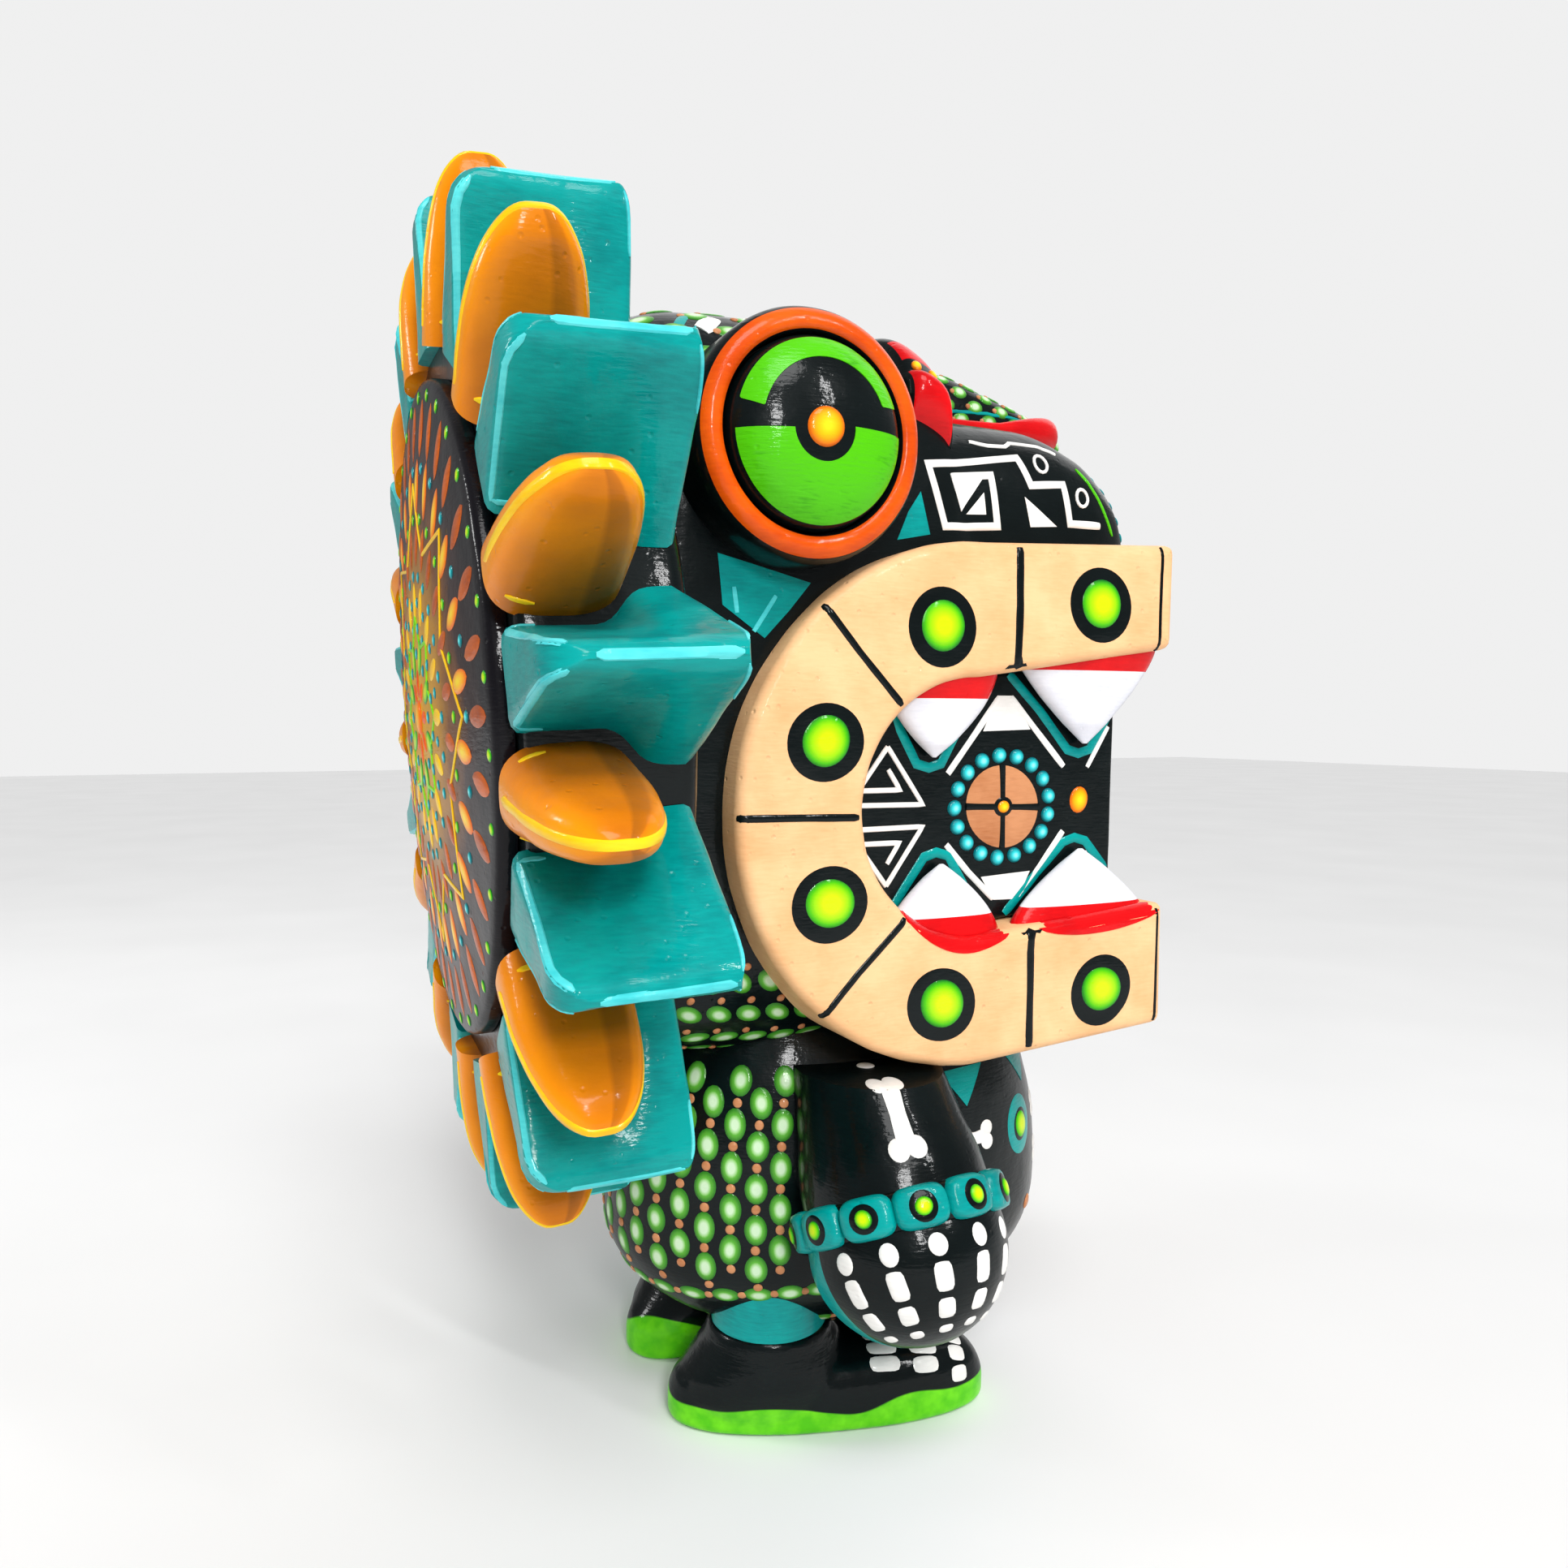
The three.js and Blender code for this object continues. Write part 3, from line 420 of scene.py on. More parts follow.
BLACKS = drift_stops((3, 9, 10), (8, 17, 18))
LOOKS = {
    "black": lacquer("black_gloss", BLACKS, gloss=0.3, pits=0.25),
    "teal": lacquer("teal_gloss", drift_stops((0, 116, 118), (0, 156, 152)), streaks=0.5, pits=0.9),
    "cyan": lacquer("cyan_line", drift_stops((20, 178, 186), (96, 222, 224))),
    # The ramp's brown end, reached through the tone attribute, is partly the paint's own brown and
    # partly painted shade on the petal flanks.
    "orange": lacquer(
        "orange_gloss",
        stops((0.0, 250, 166, 12), (0.3, 238, 138, 4), (0.5, 204, 112, 6), (0.8, 128, 74, 14)),
        by_tone=True, pits=0.9,
    ),
    "yellow": lacquer("yellow_line", drift_stops((244, 178, 4), (255, 214, 26))),
    "peach": lacquer(
        "peach_satin", drift_stops((232, 172, 118), (250, 200, 148)), gloss=0.5, coat=0.12, pits=1.3
    ),
    "white": lacquer("white_line", drift_stops((220, 218, 214), (250, 248, 244)), gloss=0.45),
    "tooth": lacquer("tooth_white", drift_stops((214, 216, 226), (240, 240, 246)), gloss=0.5),
    "red": lacquer("red_gloss", drift_stops((188, 6, 14), (228, 12, 18))),
    "flame": lacquer("flame_gloss", drift_stops((200, 58, 8), (236, 94, 8))),
    "lime": lacquer("lime_gloss", drift_stops((70, 176, 10), (128, 224, 26)), streaks=0.7),
    "green": lacquer("eye_green", drift_stops((20, 120, 4), (82, 196, 8)), streaks=0.9),
    "ember": lacquer("ember_stroke", drift_stops((138, 56, 14), (208, 98, 18))),
    "copper": lacquer("copper_paint", drift_stops((166, 98, 56), (206, 142, 98)), gloss=0.35),
    "glow": lacquer(
        "lime_dot",
        stops((0.32, 208, 232, 8), (0.6, 158, 222, 10), (0.82, 76, 192, 12), (0.97, 24, 120, 30)),
        by_tone=True,
    ),
    "amber": lacquer(
        "amber_dot", stops((0.1, 255, 222, 30), (0.6, 255, 176, 12), (0.95, 232, 108, 8)),
        by_tone=True,
    ),
    "turquoise": lacquer(
        "turquoise_dot", stops((0.1, 150, 244, 244), (0.45, 50, 206, 210), (0.9, 0, 112, 120)),
        by_tone=True,
    ),
    "scale": lacquer(
        "scale_oval",
        stops((0.3, 204, 230, 194), (0.5, 150, 206, 124), (0.62, 92, 172, 56), (0.95, 50, 124, 34)),
        by_tone=True,
    ),
    "disc": lacquer(
        "mandala_ground",
        stops((0.05, 226, 170, 14), (0.34, 196, 140, 14), (0.56, 120, 70, 16), (0.72, 48, 26, 24),
              (0.9, 14, 12, 18)),
        gloss=0.42, by_tone=True,
    ),
    "wood": lacquer("bare_dowel", drift_stops((196, 156, 104), (226, 192, 142)), gloss=0.7, coat=0),
    "shoe": sole_look(),
}


# ---------------------------------------------------------------- mesh helpers
def smooth_curve(stations):
    """A function of the first column that passes through every row without overshooting."""
    xs = [row[0] for row in stations]
    columns = list(zip(*[row[1:] for row in stations]))
    widths = [b - a for a, b in zip(xs, xs[1:])]
    slopes = []
    for ys in columns:
        rates = [(b - a) / h for a, b, h in zip(ys, ys[1:], widths)]
        inner = [
            0 if a * b <= 0 else 2 * a * b / (a + b)
            for a, b in zip(rates, rates[1:])
        ]
        slopes.append([rates[0], *inner, rates[-1]])

    def value(x):
        i = max(i for i in range(len(widths)) if i == 0 or x >= xs[i])
        h = widths[i]
        t = min(1, max(0, (x - xs[i]) / h))
        out = []
        for ys, ms in zip(columns, slopes):
            out.append(
                (1 + 2 * t) * (1 - t) ** 2 * ys[i] + t * (1 - t) ** 2 * h * ms[i]
                + t * t * (3 - 2 * t) * ys[i + 1] + t * t * (t - 1) * h * ms[i + 1]
            )
        return out

    return value


def resample(loop, count):
    """Points at even distances round a closed outline."""
    ends = loop + [loop[0]]
    reach = [0]
    for a, b in zip(ends, ends[1:]):
        reach.append(reach[-1] + math.dist(a, b))
    out = []
    k = 0
    for i in range(count):
        target = reach[-1] * i / count
        while reach[k + 1] < target:
            k += 1
        t = (target - reach[k]) / max(reach[k + 1] - reach[k], 1e-9)
        out.append(tuple(lerp(a, b, t) for a, b in zip(ends[k], ends[k + 1])))
    return out


def signed_power(value, power):
    return math.copysign(abs(value) ** power, value)


def superellipse(count, half_a, half_b, squareness):
    """Even points round a squarish ellipse, starting where the second number is zero."""
    dense = []
    for i in range(720):
        t = math.tau * i / 720
        a = half_a * signed_power(math.cos(t), 2 / squareness)
        dense.append((a, half_b * signed_power(math.sin(t), 2 / squareness)))
    return resample(dense, count)


def rounded(corners, radius, pieces=5):
    """A closed polygon with each corner turned into a short curve."""
    out = []
    for i, corner in enumerate(corners):
        before, after = Vector(corners[i - 1]), Vector(corners[(i + 1) % len(corners)])
        here = Vector(corner)
        cut_back = min(radius, (before - here).length * 0.45, (after - here).length * 0.45)
        start = here + (before - here).normalized() * cut_back
        end = here + (after - here).normalized() * cut_back
        for t in steps(0, 1, pieces):
            out.append(tuple(start * (1 - t) ** 2 + here * 2 * t * (1 - t) + end * t * t))
    return out


def arc(centre, radius_u, radius_v, start, end, pieces):
    """Points along an ellipse between two angles in degrees."""
    out = []
    for angle in steps(start, end, pieces):
        t = math.radians(angle)
        out.append((centre[0] + radius_u * math.cos(t), centre[1] + radius_v * math.sin(t)))
    return out


def loft(rings):
    """Points and faces of a closed body through equal rings, each end fanned to its middle."""
    count = len(rings[0])
    points = [p for ring in rings for p in ring]
    faces = []
    for r in range(len(rings) - 1):
        for i in range(count):
            j = (i + 1) % count
            a, b = r * count + i, r * count + j
            faces.append((a, b, b + count, a + count))
    for ring, start in ((rings[0], 0), (rings[-1], (len(rings) - 1) * count)):
        points.append(sum(ring, Vector()) / count)
        for i in range(count):
            faces.append((len(points) - 1, start + (i + 1) % count, start + i))
    return points, faces


def lofted(look, rings, **more):
    points, faces = loft(rings)
    return Body(look).add(points, faces, **more)


def turned(look, profile, sides, place, **more):
    """A body turned about an axis; place gives the point at an angle, a radius and a height."""
    rings = [
        [place(math.tau * i / sides, radius, along) for i in range(sides)]
        for radius, along in profile
    ]
    return lofted(look, rings, **more)


def fill(outline, step):
    """Triangles of a flat outline with a grid of points inside, as (points, faces, edge count)."""
    edge = [Vector(p) for p in outline]
    count = len(edge)
    low = [min(p[k] for p in edge) for k in (0, 1)]
    high = [max(p[k] for p in edge) for k in (0, 1)]
    inner = []
    for i in range(1, int((high[0] - low[0]) / step) + 1):
        for j in range(1, int((high[1] - low[1]) / step) + 1):
            p = Vector((low[0] + i * step, low[1] + j * step))
            crossings = 0
            near = False
            for a, b in zip(edge, edge[1:] + edge[:1]):
                if (a.y > p.y) != (b.y > p.y):
                    crossings += p.x < a.x + (p.y - a.y) / (b.y - a.y) * (b.x - a.x)
                span = b - a
                t = min(1, max(0, (p - a).dot(span) / max(span.length_squared, 1e-9)))
                near = near or (a + span * t - p).length < step * 0.4
            if crossings % 2 and not near:
                inner.append(p)
    rim = [(i, (i + 1) % count) for i in range(count)]
    points, _, faces, *_ = delaunay_2d_cdt(edge + inner, rim, [list(range(count))], 1, 1e-6)
    return points, faces, count


class Body:
    """A closed mesh being made: points in metres, faces, one look per face and a tone per point."""

    def __init__(self, look):
        self.looks = [look]
        self.points, self.faces, self.paint, self.tones = [], [], [], []

    def add(self, points, faces, look=None, tones=None, by_face=None):
        base = len(self.points)
        self.points += [Vector(p) for p in points]
        self.tones += list(tones) if tones else [0.5] * len(points)
        for i, face in enumerate(faces):
            self.faces.append(tuple(base + k for k in face))
            wanted = by_face(i) if by_face else (look or self.looks[0])
            if wanted not in self.looks:
                self.looks.append(wanted)
            self.paint.append(self.looks.index(wanted))
        return self

    def make(self, name, nodes=(), wobble=0.0, crease=40, mirrored=False, cuts=()):
        """The object, riding on the root body and standing for its CAD nodes."""
        side = Vector((-1, 1, 1)) if mirrored else Vector((1, 1, 1))
        mesh = bpy.data.meshes.new(name)
        mesh.from_pydata([p * side for p in self.points], [], self.faces)
        for look in self.looks:
            mesh.materials.append(LOOKS[look])
        mesh.polygons.foreach_set("material_index", self.paint)
        mesh.attributes.new("tone", "FLOAT", "POINT").data.foreach_set("value", self.tones)
        piece = new_object(name, mesh)
        face_outwards(mesh)
        for kind, cutter in cuts:
            cut(piece, kind, cutter)
        if wobble:
            carve_marks(piece.data, wobble, side)
        finish_shading(piece.data, crease)
        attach(piece, "root")
        if nodes:
            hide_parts(*nodes)
        return piece


def pair(body, name, nodes=(), **more):
    """The piece on the figure's right and its mirror image on the left."""
    right = body.make(f"{name}_right", [f"{n}_right" for n in nodes], **more)
    body.make(f"{name}_left", [f"{n}_left" for n in nodes], mirrored=True, **more)
    return right


def new_object(name, data):
    """An object linked into the scene."""
    made = bpy.data.objects.new(name, data)
    bpy.context.scene.collection.objects.link(made)
    return made


def face_outwards(mesh):
    work = bmesh.new()
    work.from_mesh(mesh)
    bmesh.ops.recalc_face_normals(work, faces=work.faces)
    work.to_mesh(mesh)
    work.free()


def finish_shading(mesh, crease):
    """Smooth shading with edges kept sharp above an angle in degrees."""
    mesh.polygons.foreach_set("use_smooth", [True] * len(mesh.polygons))
    mesh.set_sharp_from_angle(angle=math.radians(crease))
    mesh.update()


CARVE_WAVE = 17
CARVE_RIPPLE = 6


def carve_marks(mesh, amount, side=Vector((1, 1, 1))):
    """Hand-carved unevenness: every point moves a little along its normal."""
    moves = []
    for vertex in mesh.vertices:
        here = vertex.co * side * 1000
        wave = noise.noise(here / CARVE_WAVE) * 0.75
        wave += noise.noise(here / CARVE_RIPPLE + Vector((9, 4, 2))) * 0.25
        moves.append(vertex.normal * wave * amount * MM)
    for vertex, move in zip(mesh.vertices, moves):
        vertex.co += move
    mesh.update()


def settle(piece):
    """Applies an object's modifiers to its mesh."""
    view = bpy.context.evaluated_depsgraph_get()
    done = bpy.data.meshes.new_from_object(piece.evaluated_get(view), depsgraph=view)
    old = piece.data
    name = old.name
    piece.modifiers.clear()
    piece.data = done
    bpy.data.meshes.remove(old)
    done.name = name


def cut(piece, kind, cutter):
    """Joins or cuts a piece with a helper body, which is then thrown away."""
    points, faces = cutter
    mesh = bpy.data.meshes.new("helper")
    mesh.from_pydata(points, [], faces)
    helper = new_object("helper", mesh)
    face_outwards(mesh)
    change = piece.modifiers.new("cut", "BOOLEAN")
    change.operation = kind
    change.solver = "EXACT"
    change.object = helper
    settle(piece)
    bpy.data.objects.remove(helper)
    bpy.data.meshes.remove(mesh)


def soften(piece, voxel, rounds):
    """Fuses a body into one even skin and eases its edges."""
    remesh = piece.modifiers.new("skin", "REMESH")
    remesh.mode = "VOXEL"
    remesh.voxel_size = voxel * MM
    ease = piece.modifiers.new("ease", "SMOOTH")
    ease.factor = 0.5
    ease.iterations = rounds
    settle(piece)


def tree_of(piece):
    mesh = piece.data
    return BVHTree.FromPolygons([v.co for v in mesh.vertices], [p.vertices for p in mesh.polygons])


def block(low, high):
    """Box points and faces between two (forward, right, up) corners."""
    points = [
        at(a, s, z) for a in (low[0], high[0]) for s in (low[1], high[1]) for z in (low[2], high[2])
    ]
    faces = [(0, 1, 3, 2), (4, 6, 7, 5), (0, 4, 5, 1), (2, 3, 7, 6), (0, 2, 6, 4), (1, 5, 7, 3)]
    return points, faces


# ---------------------------------------------------------------- paint work
FORWARD = raw(1, 0, 0)
UP = raw(0, 0, 1)
# Paint looks for its surface from this far off it, and sinks this far under it.
SEEK = 6
PAINT_DEPTH = 0.3
# Reach of the aim points that look for a surface from inside a piece.
RAY = 40
DOME_SHARES = (0.18, 0.4, 0.48, 0.6, 0.7, 0.8, 0.92, 1.0)
FLAT_SHARES = (0.45, 0.8, 1.0)


def local_skin(tree, origin, toward, up):
    """Flat coordinates round the point where a ray from origin toward a point meets the surface."""
    spot, normal, _, _ = tree.ray_cast(origin, (toward - origin).normalized())
    if spot is None:
        spot, normal, _, _ = tree.find_nearest(toward)
    v_axis = (up - normal * up.dot(normal)).normalized()
    u_axis = v_axis.cross(normal)

    def skin(u, v, h):
        target = spot + (u_axis * u + v_axis * v) * MM
        hit, facing, _, _ = tree.ray_cast(target + normal * SEEK * MM, -normal)
        if hit is None:
            hit, facing, _, _ = tree.find_nearest(target)
        return hit + facing * h * MM

    return skin


def side_skin(tree):
    """(forward, up) coordinates on the figure's right side."""

    def skin(u, v, h):
        hit, facing, _, _ = tree.ray_cast(at(u, 130, v), Vector((1, 0, 0)))
        if hit is None:
            hit, facing, _, _ = tree.find_nearest(at(u, 60, v))
        return hit + facing * h * MM

    return skin


def even_track(path, closed, spacing):
    """A path of points with more points put in between at an even spacing."""
    track = []
    for a, b in zip(path, path[1:] + path[:1] if closed else path[1:]):
        pieces = max(1, round((b - a).length / spacing))
        track += [a.lerp(b, k / pieces) for k in range(pieces)]
    return track if closed else [*track, path[-1]]


class Paint(Body):
    """Raised dots, lines and patches of paint, each a closed sliver sunk a little into a surface."""

    def dot(self, skin, u, v, half_u, half_v, look, rise=0.5, turn=0.0, shares=DOME_SHARES,
            squareness=2.0, sides=18):
        """A domed dot or oval; its tone runs from 0 at the middle to 1 at the edge."""
        phase = rng.random() * math.tau
        cosine, sine = math.cos(turn), math.sin(turn)
        points, tones = [skin(u, v, rise)], [0.0]
        outline = superellipse(sides, half_u, half_v, squareness)
        for share in shares:
            for k, (a, b) in enumerate(outline):
                uneven = 1 + 0.03 * math.sin(2 * math.tau * k / sides + phase)
                a, b = a * share * uneven, b * share * uneven
                h = max(0.05, rise * math.sqrt(max(0, 1 - share ** 2.4)))
                points.append(skin(u + a * cosine - b * sine, v + a * sine + b * cosine, h))
                tones.append(share)
        first = len(points) - sides
        for a, b in outline:
            under = skin(u + a * cosine - b * sine, v + a * sine + b * cosine, -PAINT_DEPTH)
            points.append(under)
        points.append(skin(u, v, -PAINT_DEPTH))
        tones += [1.0] * (sides + 1)
        faces = []
        last = len(points) - 1
        for k in range(sides):
            j = (k + 1) % sides
            faces.append((0, 1 + k, 1 + j))
            for r in range(len(shares)):
                a, b = 1 + r * sides + k, 1 + r * sides + j
                faces.append((a, a + sides, b + sides, b))
            faces.append((first + sides + k, last, first + sides + j))
        return self.add(points, faces, look, tones)

    def line(self, tree, path, width, look, rise=0.28, closed=False, ends=0.35, step=1.1):
        """A brush line along points on or near the surface, thin at its ends unless closed."""
        found = [tree.find_nearest(p)[:2] for p in even_track(path, closed, step * MM)]
        spine = [p for p, _ in found]
        count = len(spine)
        reach = [0]
        for a, b in zip(spine, spine[1:]):
            reach.append(reach[-1] + (b - a).length / MM)
        total = max(reach[-1], 1e-6)
        points = []
        for i, (p, n) in enumerate(found):
            if closed:
                before, after = spine[i - 1], spine[(i + 1) % count]
            else:
                before, after = spine[max(i - 1, 0)], spine[min(i + 1, count - 1)]
            incoming, outgoing = p - before, after - p
            tangent = incoming.normalized() + outgoing.normalized()
            across = n.cross(tangent).normalized()
            mitre = 1.0
            if incoming.length > 0 and outgoing.length > 0:
                bend = incoming.normalized().dot(outgoing.normalized())
                mitre = min(1.5, 1 / math.sqrt(max(0.2, (1 + bend) / 2)))
            half = width / 2 * mitre * (1 + 0.08 * noise.noise(p * 160))
            if not closed:
                gap = min(reach[i], total - reach[i])
                round_off = min(1, gap / (width / 2 + 1e-6))
                half *= ends + (1 - ends) * math.sqrt(1 - (1 - round_off) ** 2)
            for share, lift in ((-1, 0), (-0.75, 0.75), (0, 1), (0.75, 0.75), (1, 0)):
                hit, facing, _, _ = tree.find_nearest(p + across * half * share * MM)
                facing = (facing + n * 2).normalized()
                points.append(hit + facing * (rise * lift + 0.02) * MM)
            for share in (1, -1):
                points.append(p + (across * half * share - n * 0.5) * MM)
        size = 7
        faces = []
        for i in range(count if closed else count - 1):
            j = (i + 1) % count
            for k in range(size):
                m = (k + 1) % size
                faces.append((i * size + k, j * size + k, j * size + m, i * size + m))
        if not closed:
            faces.append(tuple(range(size)))
            faces.append(tuple((count - 1) * size + k for k in reversed(range(size))))
        return self.add(points, faces, look)

    def traced(self, tree, skin, path, width, look, **more):
        """A brush line through (u, v) points of a skin."""
        return self.line(tree, [skin(u, v, 0) for u, v in path], width, look, **more)

    def patch(self, skin, outline, look, rise=0.16, step=2.5, edge_step=2.0):
        """A filled flat shape of paint."""
        rim = []
        for a, b in zip(outline, outline[1:] + outline[:1]):
            pieces = max(1, round(math.dist(a, b) / edge_step))
            rim += [tuple(lerp(p, q, k / pieces) for p, q in zip(a, b)) for k in range(pieces)]
        flat, faces, count = fill(rim, step)
        top = [skin(p.x, p.y, rise) for p in flat]
        bottom = [skin(p.x, p.y, -PAINT_DEPTH) for p in flat]
        size = len(flat)
        walls = [(i, (i + 1) % count, size + (i + 1) % count, size + i) for i in range(count)]
        under = [tuple(size + k for k in reversed(face)) for face in faces]
        return self.add(top + bottom, [tuple(f) for f in faces] + under + walls, look)


def lip_dot(paint, skin, u, v, outer, inner):
    """A glowing green dot on a black one; outer and inner are (half width, half height)."""
    paint.dot(skin, u, v, *outer, "black", 0.28, sides=40)
    paint.dot(skin, u, v + 0.3, *inner, "glow", 0.8, sides=32)


def scales_over(paint, tree, forward, lean, height, reach, marks, rise, sides=18):
    """An oval and a copper dot where rays leaning from the middle plane leave a body's top."""
    for ahead, extra_lean, half_u, half_v, look in marks:
        turn = lean + math.radians(extra_lean)
        origin = at(forward + ahead, 0, height)
        toward = at(forward + ahead, reach * math.sin(turn), height + reach * math.cos(turn))
        skin = local_skin(tree, origin, toward, FORWARD)
        paint.dot(skin, 0, 0, half_u, half_v, look, rise, sides=sides)


# ---------------------------------------------------------------- crest
crest_matrix = Matrix.Rotation(-CREST_YAW, 4, "Z") @ Matrix.Rotation(-CREST_LEAN, 4, "X")
crest_matrix.translation = at(CREST_FORWARD, 0, CREST_UP)


def crest_point(angle, radial, around, axial):
    outward = radial * math.cos(angle) - around * math.sin(angle)
    right = radial * math.sin(angle) + around * math.cos(angle)
    return crest_matrix @ raw(axial, right, outward)


def crest_turned(look, profile, sides, **more):
    def place(angle, radius, axial):
        return crest_point(angle, max(radius, 0.01), 0, axial)

    return turned(look, profile, sides, place, **more)


def teal_outline():
    """Root outline of a teal wedge as (share of half length, half width) with soft corners."""
    side = [(a * TEAL_HALF_LENGTH, w) for a, w in TEAL_FOOTPRINT]
    corners = side + [(a, -w) for a, w in reversed(side)]
    loop = resample(rounded(corners, 3.2), 76)
    return [(a / TEAL_HALF_LENGTH, w) for a, w in loop]


def footprint_width(share):
    for (a, w), (b, v) in zip(TEAL_FOOTPRINT, TEAL_FOOTPRINT[1:]):
        if share <= b:
            return lerp(w, v, (share - a) / (b - a))
    return TEAL_FOOTPRINT[-1][1]


def teal_point(angle, share, width, rise):
    """A point of a teal wedge: share along its length, half width at the root, rise to its tip."""
    radial = lerp(FEATHER_ROOT, TEAL_TIP, rise)
    drop = TEAL_TIP - radial
    over = max(0, TEAL_CORNER - drop)
    inset = TEAL_CORNER - math.sqrt(max(0, TEAL_CORNER ** 2 - over ** 2))
    half = TEAL_HALF_LENGTH - inset * 0.55
    wide = footprint_width(max(-1, min(1, share)))
    scale = lerp(wide, TEAL_TIP_HALF, rise) / wide
    scale *= math.sqrt(max(0.08, 1 - (max(0, TEAL_RIDGE_EASE - drop) / TEAL_RIDGE_EASE) ** 2))
    return crest_point(angle, radial, width * scale, TEAL_MIDDLE + inset * 0.3 + share * half)


def teal_feather(angle, name):
    outline = teal_outline()
    rises = steps(0, 0.9, 16) + [0.93, 0.955, 0.975, 0.99, 0.997, 1.0]
    rings = [[teal_point(angle, share, width, rise) for share, width in outline] for rise in rises]
    piece = lofted("teal", rings).make(name, [name], wobble=0.55, crease=70)
    tree = tree_of(piece)
    paint = Paint("cyan")
    for sign in (1, -1):
        back = [teal_point(angle, -0.97, sign * 8.6, rise) for rise in steps(0.06, 0.96, 12)]
        paint.line(tree, back, 1.3 + 0.5 * rng.random(), "cyan")
        front = [teal_point(angle, 0.97, sign * 15.2, rise) for rise in steps(0.97, 0.67, 6)]
        paint.line(tree, front, 0.8, "cyan")
        root = [teal_point(angle, share, sign * 9.0, 0.07) for share in steps(-0.98, -0.68, 4)]
        paint.line(tree, root, 1.2, "cyan")
    ridge = [teal_point(angle, share, 0, 1.0) for share in steps(-0.95, 0.95, 20)]
    paint.line(tree, ridge, 2.1, "cyan")
    paint.make(name.replace("feather", "outline"))


def orange_point(angle, along, across, rise):
    """A point of an orange petal: along and across are unit superellipse offsets."""
    radial = lerp(FEATHER_ROOT, ORANGE_TIP, rise)
    arch = math.sqrt(max(0, 1 - (rise * 0.995) ** 2.6))
    width = ORANGE_ROOT_HALF * (1 - 0.62 * rise) * min(1, arch * 1.9)
    length = ORANGE_HALF_LENGTH * (0.08 + 0.92 * arch)
    return crest_point(angle, radial, width * across, ORANGE_MIDDLE + length * along)


def petal_brown_and_shade(along, across, rise):
    """Darker toward the root's flanks, partly the paint's own brown and partly painted shade where the
    flanks turn from the light, with one darker panel toward the front.
    """
    panel = 0.16 if 0.3 < along < 0.72 else 0
    # Painted shade: the flanks darken with the turn across the petal and more toward the root, on top
    # of the paint's own brown.
    shade = abs(across) ** 1.5 * 0.34 + panel * abs(across)
    return 0.12 + shade + 0.36 * max(0, 0.62 - rise) * abs(across)


def orange_feather(angle, name):
    outline = superellipse(56, 1, 1, 2.8)
    rises = [math.sin(t) for t in steps(0, math.pi / 2, 24)]
    rings = [[orange_point(angle, a, w, rise) for a, w in outline] for rise in rises]
    # These tones carry the paint's own brown together with painted shade on the flanks.
    tones = [petal_brown_and_shade(a, w, rise) for rise in rises for a, w in outline]
    body = lofted("orange", rings, tones=tones + [0.6, 0.1])
    tree = tree_of(body.make(name, [name], wobble=0.6, crease=80))
    paint = Paint("yellow")
    over = [orange_point(angle, -1, 0, rise) for rise in steps(0.1, 0.98, 14)]
    over += [orange_point(angle, along, 0, 1.0) for along in steps(-0.8, 0.8, 6)]
    over += [orange_point(angle, 1, 0, rise) for rise in steps(0.98, 0.28, 10)]
    paint.line(tree, over, 2.0, "yellow")
    for sign in (1, -1):
        root = [orange_point(angle, along, sign, 0.13) for along in steps(-0.9, -0.4, 4)]
        paint.line(tree, root, 1.3, "yellow")
    paint.make(name.replace("feather", "outline"))


def disc_paint(tree):
    """A generic mandala of lens strokes, rings of dots and two stars on the back disc."""
    paint = Paint("lime")
    middle = crest_point(0, 0, 0, 0)
    behind = crest_point(0, 0, 0, DISC_BACK - 20)
    skin = local_skin(tree, behind, middle, crest_point(0, 1, 0, 0) - middle)
    for radius, count, phase, length, width, look in MANDALA_RINGS:
        for k in range(count):
            angle = math.tau * (k + phase) / count
            paint.dot(skin, radius * math.cos(angle), radius * math.sin(angle), length, width, look,
                      0.35, turn=angle, sides=16, squareness=1.7, shares=FLAT_SHARES)
    paint.dot(skin, 0, 0, 4.2, 4.2, "amber", 0.9)
    for radius, look in MANDALA_STARS:
        corners = []
        for k in range(2 * STAR_POINTS):
            reach = radius if k % 2 == 0 else radius * STAR_NOTCH
            turn = math.pi * k / STAR_POINTS
            corners.append((reach * math.cos(turn), reach * math.sin(turn)))
        paint.traced(tree, skin, corners, 0.9, look, closed=True)
    paint.make("disc_mandala")


def crest_front_marks(tree):
    """Rings of dots and petals on the front of the drum, round the head."""
    paint = Paint("turquoise")
    for radius, count, half_long, half_wide, look in DRUM_FRONT_RINGS:
        for k in range(count):
            angle = math.tau * (k + 0.5) / count
            ahead = crest_point(angle, radius, 0, DRUM_FRONT + 40)
            onto = crest_point(angle, radius, 0, DRUM_FRONT)
            outward = crest_point(angle, radius + 1, 0, 0) - crest_point(angle, radius, 0, 0)
            skin = local_skin(tree, ahead, onto, outward)
            paint.dot(skin, 0, 0, half_wide, half_long, look, 0.45, sides=14)
    paint.make("drum_front_marks")


